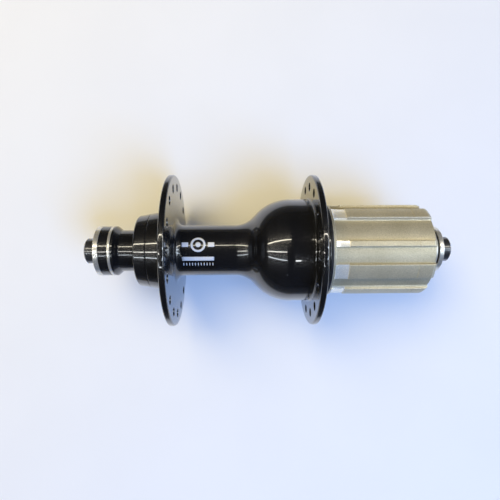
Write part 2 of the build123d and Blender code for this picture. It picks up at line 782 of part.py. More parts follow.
# ---- right end: seal, spacers, and the end cap, washer and nut on the axle ----
def make_right_end():
    sleeve("freehub_seal", neck_radius + press_gap, freehub_seal_radius,
           seal_outer_y, seal_inner_y, freehub_seal_chamfer)
    sleeve("bearing_spacer", cap_seat_bore, spacer_radius,
           freehub_inner_bearing_y + bearing_width / 2, right_bearing_outer_y)
    sleeve("freehub_spacer", cap_seat_bore, spacer_radius, freehub_spacer_end_y, freehub_spacer_start_y)
    sleeve("outer_race_spacer", lip_radius, bearing_outer_radius - press_gap,
           freehub_spacer_end_y, freehub_spacer_start_y)
    step_y = right_cap_start_y - right_cap_step
    turned(
        "right_end_cap",
        (cap_seat_bore, right_cap_start_y),
        (sleeve_radius, right_cap_start_y),
        (sleeve_radius, step_y),
        (right_cap_radius, step_y),
        (right_cap_radius, right_washer_y + right_cap_edge),
        (right_cap_radius - right_cap_edge, right_washer_y),
        (cap_thread_bore, right_washer_y),
        (cap_thread_bore, right_shoulder_y),
        (cap_seat_bore, right_shoulder_y),
    )
    sleeve("right_washer", cap_thread_bore, right_washer_radius, right_nut_y, right_washer_y)
    turned(
        "right_dropout_nut",
        (cap_thread_bore, right_nut_y),
        (right_cap_radius, right_nut_y),
        (right_cap_radius, -face_y + right_nut_chamfer),
        (right_cap_radius - right_nut_chamfer, -face_y),
        (cap_thread_bore, -face_y),
    )


make_axle()
make_shell()
make_left_end()
make_ratchet()
for pawl_number in range(1, pawl_count + 1):
    make_pawl(pawl_number)
make_pawl_springs()
make_freehub_body()
make_circlip()
make_right_end()
make_bearing("left_shell_bearing", left_bearing_y)
make_bearing("right_shell_bearing", right_bearing_y)
make_bearing("freehub_inner_bearing", freehub_inner_bearing_y)
make_bearing("freehub_outer_bearing", freehub_outer_bearing_y)
print(f"pawl swing {pawl_swing:.3f} degrees")
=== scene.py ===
import bpy
import json
import math
import numpy as np
from mathutils import Matrix, Vector
from types import SimpleNamespace


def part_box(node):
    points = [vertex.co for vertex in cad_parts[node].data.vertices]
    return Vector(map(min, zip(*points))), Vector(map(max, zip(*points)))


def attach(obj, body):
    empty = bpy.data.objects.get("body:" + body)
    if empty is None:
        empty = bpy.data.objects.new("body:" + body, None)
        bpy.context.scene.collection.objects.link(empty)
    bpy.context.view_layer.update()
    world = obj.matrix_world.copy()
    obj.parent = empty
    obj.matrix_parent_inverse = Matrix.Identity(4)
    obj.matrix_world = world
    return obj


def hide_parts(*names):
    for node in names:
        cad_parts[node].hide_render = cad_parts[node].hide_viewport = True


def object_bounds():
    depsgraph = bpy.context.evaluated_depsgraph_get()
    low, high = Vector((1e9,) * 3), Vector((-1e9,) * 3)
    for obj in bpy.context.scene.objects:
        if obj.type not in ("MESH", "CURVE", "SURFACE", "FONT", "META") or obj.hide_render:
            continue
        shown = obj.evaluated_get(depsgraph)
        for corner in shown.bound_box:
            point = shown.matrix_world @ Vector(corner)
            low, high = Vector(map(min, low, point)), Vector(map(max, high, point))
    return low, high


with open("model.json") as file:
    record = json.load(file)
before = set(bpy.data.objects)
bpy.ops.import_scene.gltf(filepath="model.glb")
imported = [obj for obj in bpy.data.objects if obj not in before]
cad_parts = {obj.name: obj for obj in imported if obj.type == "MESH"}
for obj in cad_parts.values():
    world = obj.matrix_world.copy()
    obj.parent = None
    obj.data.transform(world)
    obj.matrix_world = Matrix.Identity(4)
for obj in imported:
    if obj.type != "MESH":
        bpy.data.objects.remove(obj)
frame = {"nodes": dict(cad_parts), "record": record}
cadLow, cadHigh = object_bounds()
cadNodes = frame["nodes"]
mm = 0.001
print("frame loaded with", len(cadNodes), "CAD nodes")


def spanOf(node):  # a node's ends along the axis and its outer radius, in millimetres
    low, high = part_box(node)
    return low.y / mm, high.y / mm, high.z / mm


pathRules = {
    "tiny": 1e-12, "nearStraight": 0.999999, "sideShare": 0.48, "support": 0.3, "supportLimit": 0.02,
    "supportShare": 0.2, "leastGap": 1e-6, "mergeMm": 2e-4,
}


# Rounds the corners of a path of (radius, y, round): each corner is swapped for an arc that
# touches both its sides, worked out for all corners at once, with one support point either side.
def roundedPath(corners, closed=True, steps=6):
    data = np.asarray(corners, float)
    spot, rounding = data[:, :2], data[:, 2]
    toPrev = np.roll(spot, 1, axis=0) - spot
    toNext = np.roll(spot, -1, axis=0) - spot
    if not closed:
        rounding = rounding.copy()
        rounding[[0, -1]] = 0
    tiny = pathRules["tiny"]
    lenPrev = np.linalg.norm(toPrev, axis=1, keepdims=True) + tiny
    lenNext = np.linalg.norm(toNext, axis=1, keepdims=True) + tiny
    shorter = np.minimum(lenPrev, lenNext)
    dirPrev, dirNext = toPrev / lenPrev, toNext / lenNext
    straight = pathRules["nearStraight"]
    halfInside = np.arccos(np.clip(np.sum(dirPrev * dirNext, axis=1), -straight, straight)) / 2
    setBack = rounding / np.tan(halfInside)
    setBack = np.minimum(setBack, pathRules["sideShare"] * shorter[:, 0])
    radius = setBack * np.tan(halfInside)
    bisector = dirPrev + dirNext
    bisector /= np.linalg.norm(bisector, axis=1, keepdims=True) + tiny
    centre = spot + bisector * (radius / np.sin(halfInside))[:, None]
    start = spot + dirPrev * setBack[:, None]
    end = spot + dirNext * setBack[:, None]
    sweep = np.pi - 2 * halfInside
    turn = np.sign(dirPrev[:, 0] * dirNext[:, 1] - dirPrev[:, 1] * dirNext[:, 0])
    angle = -turn[:, None] * sweep[:, None] * np.linspace(0, 1, steps)[None, :]
    arm = (start - centre)[:, None, :]
    arc = np.stack([
        arm[..., 0] * np.cos(angle) - arm[..., 1] * np.sin(angle),
        arm[..., 0] * np.sin(angle) + arm[..., 1] * np.cos(angle)], axis=-1) + centre[:, None, :]
    support = pathRules["support"] * setBack[:, None]
    limit = pathRules["supportLimit"] * shorter + pathRules["supportShare"] * support
    support = np.minimum(support, limit)
    before = (start + dirPrev * support)[:, None, :]
    after = (end + dirNext * support)[:, None, :]
    rows = np.concatenate([before, arc, after], axis=1).reshape(-1, 2)
    onEdge = np.tile(np.r_[0.0, np.ones(steps), 0.0], len(spot)) * np.repeat(rounding > 0, steps + 2)
    gap = np.linalg.norm(np.diff(rows, axis=0, prepend=rows[:1] - 1), axis=1)
    keep = gap > pathRules["leastGap"]
    return rows[keep], onEdge[keep]


# A turned surface: each (radius, y) row of the profile is carried round the Y axis,
# x = radius sin(angle), z = radius cos(angle), for every angle of the list.
def turnedGrid(profile, angles):
    radius, y = profile[:, 0][:, None], profile[:, 1][:, None]
    x = radius * np.sin(angles)[None, :]
    z = radius * np.cos(angles)[None, :]
    return np.stack([x, np.broadcast_to(y, x.shape), z], axis=-1)


def evenAngles(count):
    return np.arange(count) / count * 2 * np.pi


# Joins grids of points into one mesh: quads between neighbouring rows and columns,
# points that coincide merged, and quads that lost an edge made triangles.
def meshFromGrids(name, grids, edgeValues=None, machinedValues=None):
    points, quads, values, base = [], [], [], 0
    for number, (grid, wrapRows, wrapColumns) in enumerate(grids):
        rows, columns = grid.shape[:2]
        index = base + np.arange(rows * columns).reshape(rows, columns)
        rowEnd = rows if wrapRows else rows - 1
        columnEnd = columns if wrapColumns else columns - 1
        i = np.arange(rowEnd)[:, None]
        j = np.arange(columnEnd)[None, :]
        iNext, jNext = (i + 1) % rows, (j + 1) % columns
        quads.append(np.stack([index[i, j], index[i, jNext], index[iNext, jNext], index[iNext, j]],
                              axis=-1).reshape(-1, 4))
        points.append(grid.reshape(-1, 3))
        given = edgeValues[number] if edgeValues else np.zeros(rows)
        given = given[:, None] if given.ndim == 1 else given
        values.append(np.broadcast_to(given, (rows, columns)).reshape(-1))
        base += rows * columns
    points, quads, values = np.concatenate(points), np.concatenate(quads), np.concatenate(values)
    key = np.round(points / pathRules["mergeMm"]).astype(np.int64)
    first, inverse = np.unique(key, axis=0, return_index=True, return_inverse=True)[1:]
    inverse = inverse.reshape(-1)
    faces = inverse[quads]
    same = faces == np.roll(faces, -1, axis=1)
    lost = same.sum(axis=1)
    whole = faces[lost == 0]
    tri = faces[lost == 1]
    tri = tri[~same[lost == 1]].reshape(-1, 3)
    flat = (whole[:, 0] == whole[:, 2]) | (whole[:, 1] == whole[:, 3])
    whole = whole[~flat]
    vertices = points[first] * mm
    loops = np.concatenate([whole.reshape(-1), tri.reshape(-1)])
    sizes = np.r_[np.full(len(whole), 4), np.full(len(tri), 3)]
    starts = np.r_[0, np.cumsum(sizes)[:-1]]
    mesh = bpy.data.meshes.new(name)
    mesh.vertices.add(len(vertices))
    mesh.vertices.foreach_set("co", vertices.reshape(-1).astype(np.float32))
    mesh.loops.add(len(loops))
    mesh.loops.foreach_set("vertex_index", loops.astype(np.int32))
    mesh.polygons.add(len(sizes))
    mesh.polygons.foreach_set("loop_start", starts.astype(np.int32))
    mesh.update(calc_edges=True)
    mesh.validate()
    edge = mesh.attributes.new("edge", "FLOAT", "POINT")
    edge.data.foreach_set("value", values[first].astype(np.float32))
    if machinedValues is not None:
        machined = mesh.attributes.new("machined", "FLOAT", "POINT")
        machined.data.foreach_set("value", machinedValues.reshape(-1)[first].astype(np.float32))
    return mesh


# Turns the faces outwards when the mesh encloses a negative volume, a sum over its triangles.
def faceOutwards(mesh):
    mesh.calc_loop_triangles()
    corners = np.zeros(len(mesh.loop_triangles) * 3, np.int32)
    mesh.loop_triangles.foreach_get("vertices", corners)
    spots = np.zeros(len(mesh.vertices) * 3, np.float32)
    mesh.vertices.foreach_get("co", spots)
    a, b, c = spots.reshape(-1, 3)[corners.reshape(-1, 3)].astype(float).transpose(1, 0, 2)
    if np.einsum("ij,ij->i", a, np.cross(b, c)).sum() < 0:
        mesh.flip_normals()
    mesh.update()


def newObject(name, data):
    made = bpy.data.objects.new(name, data)
    bpy.context.scene.collection.objects.link(made)
    return made


# A piece that replaces a CAD node takes that node's slot, and the finish that goes with the slot.
def addPiece(name, mesh, body, node=None, finish=None):
    faceOutwards(mesh)
    mesh.polygons.foreach_set("use_smooth", np.ones(len(mesh.polygons), bool))
    piece = newObject(name, mesh)
    mesh.materials.append(materials[finish or slotFinish[slotOf[node]]])
    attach(piece, body)
    if node:
        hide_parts(node)
    print("made", name, len(mesh.polygons), "faces")


def turnedPiece(name, corners, body, node, columns=256):
    profile, onEdge = roundedPath(corners)
    grid = turnedGrid(profile, evenAngles(columns))
    addPiece(name, meshFromGrids(name, [(grid, True, True)], [onEdge]), body, node)


# A plain ring the size of its CAD node, with a bore and rounded edges.
def plainRing(name, s, body, node, columns=256):
    low, high, outer = spanOf(node)
    turnedPiece(name, [(s["bore"], low, s["boreEdge"]), (outer, low, s["edge"]), (outer, high, s["edge"]),
                       (s["bore"], high, s["boreEdge"])], body, node, columns)


class NodeSheet:
    def __init__(self, tree):
        self.tree, self.column = tree, 0

    def add(self, kind, **settings):
        node = self.tree.nodes.new(kind)
        node.location = (self.column * 180, -(self.column % 3) * 220)  # spread out, to be read
        self.column += 1
        for key, value in settings.items():
            setattr(node, key, value)
        return node

    def join(self, source, target):
        self.tree.links.new(source, target)

    def objectPlace(self):
        return self.add("ShaderNodeTexCoord").outputs["Object"]

    def feed(self, sockets, values):  # a number is set on its socket, anything else is linked to it
        for socket, value in zip(sockets, values):
            if isinstance(value, float):
                socket.default_value = value
            else:
                self.join(value, socket)

    def maths(self, operation, *values, clamp=False):
        node = self.add("ShaderNodeMath", operation=operation, use_clamp=clamp)
        self.feed(node.inputs, values)
        return node.outputs[0]

    def times(self, *values, clamp=False):
        return self.maths("MULTIPLY", *values, clamp=clamp)

    def remap(self, *values):  # value, from low and high, to low and high
        node = self.add("ShaderNodeMapRange", interpolation_type="SMOOTHSTEP")
        self.feed(node.inputs, values)
        return node.outputs["Result"]


def newGroup(name, inputs, outputs):
    tree = bpy.data.node_groups.new(name, "ShaderNodeTree")
    for label, value in inputs:
        socket = tree.interface.new_socket(name=label, in_out="INPUT", socket_type="NodeSocketFloat")
        socket.default_value = value
    for label in outputs:
        tree.interface.new_socket(name=label, in_out="OUTPUT", socket_type="NodeSocketFloat")
    sheet = NodeSheet(tree)
    return tree, sheet, sheet.add("NodeGroupInput").outputs, sheet.add("NodeGroupOutput").inputs


patterns = {
    "wideRings": 0.13, "ringDetail": 2.0, "grainDetail": 3.0, "grainMix": 0.65, "grainSpan": (0.25, 0.75),
    "driftSpan": (0.3, 0.7), "driftDetail": 2.0, "patchDetail": 4.0, "patchSoft": 0.25, "speckIn": 0.05,
    "speckOut": 0.12,
}
perMetre = 1000.0  # turns a count per millimetre into a pattern scale in metres


def placedNoise(sheet, place, scale, detail, mix=0.5, **settings):
    noise = sheet.add("ShaderNodeTexNoise", **settings)
    sheet.join(place, noise.inputs["Vector"])
    sheet.join(scale, noise.inputs["Scale"])
    noise.inputs["Detail"].default_value = patterns[detail]
    noise.inputs["Roughness"].default_value = mix
    return noise.outputs["Fac"]


# Rings left by the lathe: noise over the distance from the axis and the place along it.
def makeTurnedMarks():
    given = (("Rings per mm", 6.0), ("Unevenness", 0.5))
    tree, sheet, given, result = newGroup("turnedMarks", given, ["Rings"])
    split = sheet.add("ShaderNodeSeparateXYZ")
    sheet.join(sheet.objectPlace(), split.inputs[0])
    squareX = sheet.times(split.outputs[0], split.outputs[0])
    squareZ = sheet.times(split.outputs[2], split.outputs[2])
    both = sheet.add("ShaderNodeCombineXYZ")
    sheet.join(sheet.maths("SQRT", sheet.maths("ADD", squareX, squareZ)), both.inputs[0])
    sheet.join(split.outputs[1], both.inputs[1])
    scale = sheet.times(given["Rings per mm"], perMetre)
    wideScale = sheet.times(scale, patterns["wideRings"])
    fine = placedNoise(sheet, both.outputs[0], scale, "ringDetail", noise_dimensions="2D")
    wide = placedNoise(sheet, both.outputs[0], wideScale, "ringDetail", noise_dimensions="2D")
    uneven = sheet.times(given["Unevenness"], wide)
    rings = sheet.times(fine, sheet.maths("SUBTRACT", 1.0, uneven))
    sheet.join(rings, result["Rings"])
    return tree


def makeFineGrain():  # blasted or moulded grain, with a slow drift of tone under it
    given = (("Grain size mm", 0.1), ("Drift size mm", 6.0))
    tree, sheet, given, result = newGroup("fineGrain", given, ["Grain", "Drift"])
    place = sheet.objectPlace()
    grainScale = sheet.maths("DIVIDE", perMetre, given["Grain size mm"])
    driftScale = sheet.maths("DIVIDE", perMetre, given["Drift size mm"])
    fine = placedNoise(sheet, place, grainScale, "grainDetail", patterns["grainMix"])
    slow = placedNoise(sheet, place, driftScale, "driftDetail")
    sheet.join(sheet.remap(fine, *patterns["grainSpan"], 0.0, 1.0), result["Grain"])
    sheet.join(sheet.remap(slow, *patterns["driftSpan"], 0.0, 1.0), result["Drift"])
    return tree


def makeEdgeWear():  # bare metal where the mesh's edge value is high, broken up by noise
    tree, sheet, given, result = newGroup("edgeWear", (("Amount", 0.5), ("Patch mm", 0.6)), ["Wear"])
    edge = sheet.add("ShaderNodeAttribute", attribute_name="edge").outputs["Fac"]
    place = sheet.objectPlace()
    patch = placedNoise(sheet, place, sheet.maths("DIVIDE", perMetre, given["Patch mm"]), "patchDetail")
    level = sheet.maths("SUBTRACT", 1.0, sheet.times(given["Amount"], 0.5))
    start = sheet.maths("SUBTRACT", level, patterns["patchSoft"])
    broken = sheet.remap(patch, start, level, 0.0, 1.0)
    sheet.join(sheet.times(edge, broken, clamp=True), result["Wear"])
    return tree


def makeLightDust():  # tiny pale specks, scattered one to a cell
    tree, sheet, given, result = newGroup("lightDust", (("Specks per mm", 0.7), ("Share", 0.3)), ["Dust"])
    cells = sheet.add("ShaderNodeTexVoronoi")
    sheet.join(sheet.objectPlace(), cells.inputs["Vector"])
    sheet.join(sheet.times(given["Specks per mm"], perMetre), cells.inputs["Scale"])
    speck = sheet.remap(cells.outputs["Distance"], patterns["speckIn"], patterns["speckOut"], 1.0, 0.0)
    chosen = sheet.add("ShaderNodeSeparateColor")
    sheet.join(cells.outputs["Color"], chosen.inputs[0])
    picked = sheet.maths("LESS_THAN", chosen.outputs[0], given["Share"])
    sheet.join(sheet.times(speck, picked), result["Dust"])
    return tree


trees = makeTurnedMarks(), makeFineGrain(), makeEdgeWear(), makeLightDust()
groups = {tree.name: tree for tree in trees}
print("shader groups built:", ", ".join(groups))


def startMaterial(name, shaderValues):
    material = bpy.data.materials.new(name)
    material.use_nodes = True
    sheet = NodeSheet(material.node_tree)
    shader = material.node_tree.nodes["Principled BSDF"]
    for key, value in shaderValues.items():
        shader.inputs[key].default_value = value
    return material, sheet, shader


def placeGroup(sheet, name, look, *keys):  # the look's values go to the group's sockets in their order
    node = sheet.add("ShaderNodeGroup", node_tree=groups[name])
    sheet.feed(node.inputs, [look[key] for key in keys])
    return node.outputs


def mixColours(sheet, factor, first, second):
    node = sheet.add("ShaderNodeMix", data_type="RGBA")
    sheet.join(factor, node.inputs["Factor"])
    for socket, value in ((node.inputs[6], first), (node.inputs[7], second)):
        if isinstance(value, tuple):
            socket.default_value = (*value, 1.0)
        else:
            sheet.join(value, socket)
    return node.outputs[2]


def bumpFrom(sheet, shader, height, distance, strength):
    bump = sheet.add("ShaderNodeBump")
    bump.inputs["Strength"].default_value = strength
    bump.inputs["Distance"].default_value = distance
    sheet.join(height, bump.inputs["Height"])
    sheet.join(bump.outputs[0], shader.inputs["Normal"])


# A metal or plated finish: colour between two tones by grain and rings, roughness likewise.
def metalFinish(name, look):
    material, sheet, shader = startMaterial(name, look["shader"])
    marks = placeGroup(sheet, "turnedMarks", look, "rings", "unevenness")
    grain = placeGroup(sheet, "fineGrain", look, "grain", "drift")
    wear = placeGroup(sheet, "edgeWear", look, "wear", "patch")
    dust = placeGroup(sheet, "lightDust", look, "specks", "dust")
    ringShare = sheet.times(marks["Rings"], look["ringTone"])
    grainShare = sheet.times(grain["Grain"], look["grainTone"])
    # where the finish was cut away again by machining
    machined = sheet.add("ShaderNodeAttribute", attribute_name="machined").outputs["Fac"]
    tone = mixColours(sheet, grain["Drift"], look["dark"], look["light"])
    tone = mixColours(sheet, ringShare, tone, look["ringColour"])
    tone = mixColours(sheet, grainShare, tone, look["grainColour"])
    tone = mixColours(sheet, sheet.maths("MAXIMUM", wear["Wear"], machined), tone, look["bare"])
    dustShare = sheet.times(dust["Dust"], look["dustTone"])
    sheet.join(mixColours(sheet, dustShare, tone, look["dustColour"]), shader.inputs["Base Color"])
    rough = sheet.maths("MULTIPLY_ADD", marks["Rings"], look["ringRough"], look["rough"])
    rough = sheet.maths("MULTIPLY_ADD", grain["Grain"], look["grainRough"], rough)
    rough = sheet.maths("MULTIPLY_ADD", dust["Dust"], look["dustRough"], rough)
    smoothed = sheet.maths("MULTIPLY_ADD", machined, look["machinedRough"], 1.0)
    sheet.join(sheet.times(rough, smoothed, clamp=True), shader.inputs["Roughness"])
    if "Anisotropic" in look["shader"]:
        lathe = sheet.add("ShaderNodeTangent", direction_type="RADIAL", axis="Y")
        sheet.join(lathe.outputs[0], shader.inputs["Tangent"])
    height = sheet.times(marks["Rings"], look["ringHeight"])
    blasted = sheet.times(sheet.maths("SUBTRACT", 1.0, machined), look["grainHeight"])
    height = sheet.maths("MULTIPLY_ADD", grain["Grain"], blasted, height)
    bumpFrom(sheet, shader, height, look["bumpDepth"], look["bump"])
    return material


plainLook = {
    "shader": {"Metallic": 1.0, "IOR": 1.5}, "rings": 5.0, "unevenness": 0.5, "grain": 0.12, "drift": 7.0,
    "wear": 0.0, "patch": 0.6, "specks": 0.6, "dust": 0.02, "ringTone": 0.25, "grainTone": 0.1,
    "grainColour": (0.4, 0.4, 0.4), "bare": (0.7, 0.7, 0.7), "dustTone": 0.6,
    "dustColour": (0.5, 0.49, 0.47), "rough": 0.2, "ringRough": 0.12, "grainRough": 0.05,
    "dustRough": 0.3, "machinedRough": -0.45, "ringHeight": 1.0, "grainHeight": 0.2, "bump": 0.25,
    "bumpDepth": 0.00002,
}

looks = {
    "blackAnodised": {
        "shader": {"Metallic": 0.0, "IOR": 1.5, "Specular IOR Level": 0.4, "Anisotropic": 0.8,
                   "Coat Weight": 1.0, "Coat Roughness": 0.025, "Coat IOR": 1.55},
        "dark": (0.0035, 0.0036, 0.0042), "light": (0.006, 0.006, 0.007),
        "ringColour": (0.012, 0.012, 0.014), "ringTone": 0.3, "grainTone": 0.1,
        "grainColour": (0.01, 0.01, 0.011), "bare": (0.06, 0.06, 0.062), "wear": 0.25, "rough": 0.16,
        "ringRough": 0.1, "bump": 0.12, "dust": 0.05, "specks": 0.45},
    "blackAxle": {
        "shader": {"Metallic": 0.0, "IOR": 1.5, "Specular IOR Level": 0.8, "Coat Weight": 1.0,
                   "Coat Roughness": 0.07},
        "dark": (0.012, 0.012, 0.013), "light": (0.02, 0.02, 0.022), "ringColour": (0.05, 0.05, 0.052),
        "ringTone": 0.5, "grainTone": 0.2, "grainColour": (0.02, 0.02, 0.021), "bare": (0.3, 0.3, 0.3),
        "wear": 0.55, "rough": 0.28, "ringRough": 0.15, "bump": 0.3, "rings": 3.5},
    "brightAlloy": {
        "shader": {"Metallic": 0.72}, "dark": (0.74, 0.71, 0.63), "light": (0.86, 0.83, 0.75),
        "ringColour": (0.46, 0.44, 0.39), "bare": (0.85, 0.83, 0.77), "wear": 0.3, "rough": 0.24,
        "bump": 0.3},
    "brightSteel": {
        "shader": {"Metallic": 0.72}, "dark": (0.74, 0.715, 0.64), "light": (0.86, 0.83, 0.75),
        "ringColour": (0.42, 0.41, 0.37), "bare": (0.85, 0.83, 0.78), "wear": 0.4, "rough": 0.22,
        "bump": 0.25},
    "champagne": {
        "shader": {"Metallic": 0.5}, "dark": (0.60, 0.54, 0.375), "light": (0.69, 0.625, 0.45),
        "ringColour": (0.5, 0.45, 0.34), "ringTone": 0.1, "grainTone": 0.75, "grain": 0.3,
        "grainColour": (0.31, 0.275, 0.18), "bare": (0.95, 0.91, 0.78), "wear": 0.9, "rough": 0.36,
        "grainRough": 0.14, "ringRough": 0.05, "ringHeight": 0.25, "grainHeight": 1.0, "bump": 0.55,
        "rings": 3.0},
    "toolSteel": {
        "dark": (0.30, 0.30, 0.31), "light": (0.40, 0.40, 0.41), "ringColour": (0.2, 0.2, 0.2),
        "bare": (0.5, 0.5, 0.5), "wear": 0.3, "rough": 0.28},
    "springSteel": {
        "dark": (0.12, 0.12, 0.14), "light": (0.18, 0.18, 0.2), "ringColour": (0.08, 0.08, 0.09),
        "bare": (0.4, 0.4, 0.42), "wear": 0.5, "rough": 0.3, "ringTone": 0.1},
    "bearingSteel": {
        "dark": (0.56, 0.57, 0.59), "light": (0.66, 0.67, 0.69), "ringColour": (0.4, 0.41, 0.43),
        "rough": 0.12, "rings": 9.0, "bump": 0.15},
    "ballSteel": {
        "dark": (0.68, 0.69, 0.71), "light": (0.74, 0.75, 0.77), "ringColour": (0.6, 0.6, 0.62),
        "ringTone": 0.0, "rough": 0.05, "ringRough": 0.0, "ringHeight": 0.0, "grainRough": 0.02,
        "bump": 0.05},
}

materials = {name: metalFinish(name, {**plainLook, **look}) for name, look in looks.items()}


# Rubber and nylon: dull moulded skins with a fine grain, paler where dust sits.
def mouldedFinish(name, look):
    material, sheet, shader = startMaterial(name, look["shader"])
    grain = placeGroup(sheet, "fineGrain", look, "grain", "drift")
    dust = placeGroup(sheet, "lightDust", look, "specks", "dust")
    wear = placeGroup(sheet, "edgeWear", look, "wear", "patch")
    tone = mixColours(sheet, grain["Drift"], look["dark"], look["light"])
    tone = mixColours(sheet, wear["Wear"], tone, look["worn"])
    dustShare = sheet.times(dust["Dust"], look["dustTone"])
    sheet.join(mixColours(sheet, dustShare, tone, look["dustColour"]), shader.inputs["Base Color"])
    rough = sheet.maths("MULTIPLY_ADD", grain["Grain"], look["grainRough"], look["rough"])
    sheet.join(rough, shader.inputs["Roughness"])
    bumpFrom(sheet, shader, grain["Grain"], look["bumpDepth"], look["bump"])
    return material


plainMould = {
    "drift": 5.0, "specks": 0.8, "wear": 0.5, "patch": 0.5, "dustTone": 0.5,
    "dustColour": (0.4, 0.39, 0.37), "grainRough": 0.12, "bumpDepth": 0.00003, "bump": 0.4,
}
mouldedLooks = {
    "blackRubber": {
        "shader": {"IOR": 1.5}, "grain": 0.15, "dust": 0.05, "dark": (0.012, 0.012, 0.013),
        "light": (0.02, 0.02, 0.021), "worn": (0.035, 0.035, 0.036), "rough": 0.38},
    "sealRubber": {
        "shader": {"IOR": 1.5}, "grain": 0.1, "dust": 0.03, "dark": (0.02, 0.02, 0.022),
        "light": (0.03, 0.03, 0.033), "worn": (0.05, 0.05, 0.05), "rough": 0.45},
    "cageNylon": {
        "shader": {"IOR": 1.53, "Subsurface Weight": 0.1}, "grain": 0.1, "dust": 0.0,
        "dark": (0.55, 0.5, 0.4), "light": (0.62, 0.58, 0.48), "worn": (0.68, 0.64, 0.55), "rough": 0.4},
    "markWhite": {
        "shader": {"IOR": 1.5, "Coat Weight": 0.3, "Coat Roughness": 0.1}, "grain": 0.08, "dust": 0.0,
        "dark": (0.66, 0.67, 0.69), "light": (0.74, 0.75, 0.76), "worn": (0.6, 0.6, 0.61), "rough": 0.3},
}
for name, look in mouldedLooks.items():
    materials[name] = mouldedFinish(name, {**plainMould, **look})
print("materials built:", len(materials))

slotFinish = {
    "tool_steel": "toolSteel", "spring_steel": "springSteel", "bearing_steel": "bearingSteel",
    "ball_steel": "ballSteel", "cage_nylon": "cageNylon", "seal_rubber": "sealRubber",
    "bright_alloy": "brightAlloy", "bright_steel": "brightSteel", "black_anodised": "blackAnodised",
    "black_axle": "blackAxle", "champagne_alloy": "champagne", "black_rubber": "blackRubber",
}
slotOf = {part["node"]: part["material_slot"] for part in frame["record"]["subparts"]}


shellLow, shellHigh, flangeRadius = spanOf("hub_shell")
hubShell = {
    "columns": 256, "flangeWidth": 2.2, "flangeRound": 0.7, "holes": 16, "holeCircle": 24.2,
    "holeRadius": 1.3, "sinkRadius": 1.75, "sinkDepth": 0.5177, "sinkRound": 0.07, "patchInside": 3.0,
    "patchOutside": 2.9, "leftBossLength": 7.1, "leftBossEnd": 14.2, "leftBossRoot": 15.5,
    "leftRootRound": 0.8, "rightBossLength": 3.0, "rightBoss": 18.2, "rightRootRound": 0.6,
    "barrel": 9.67, "barrelRoot": 3.0, "bell": 19.62, "bellRound": 18.0, "neckRound": 9.7,
    "bellCrown": 7.2, "bellRoot": 1.5, "seat": 12.01, "lip": 10.0, "lipLength": 1.0, "ratchetBore": 16.01,
    "ratchetDepth": 12.1, "rightSeatDepth": 7.5, "barrelBore": 7.9, "leftSeatDepth": 7.3,
    "seamRound": 0.28, "boreRound": 0.1, "ratchetRound": 0.15, "mouthRound": 0.25, "barrelBoreRound": 0.3,
    "sinkMargin": 0.25, "neckSteps": 19, "bellSteps": 29, "sectorSteps": 6, "insideSteps": 4,
    "leads": (1.0, 0.72, 0.45, 0.22),
}


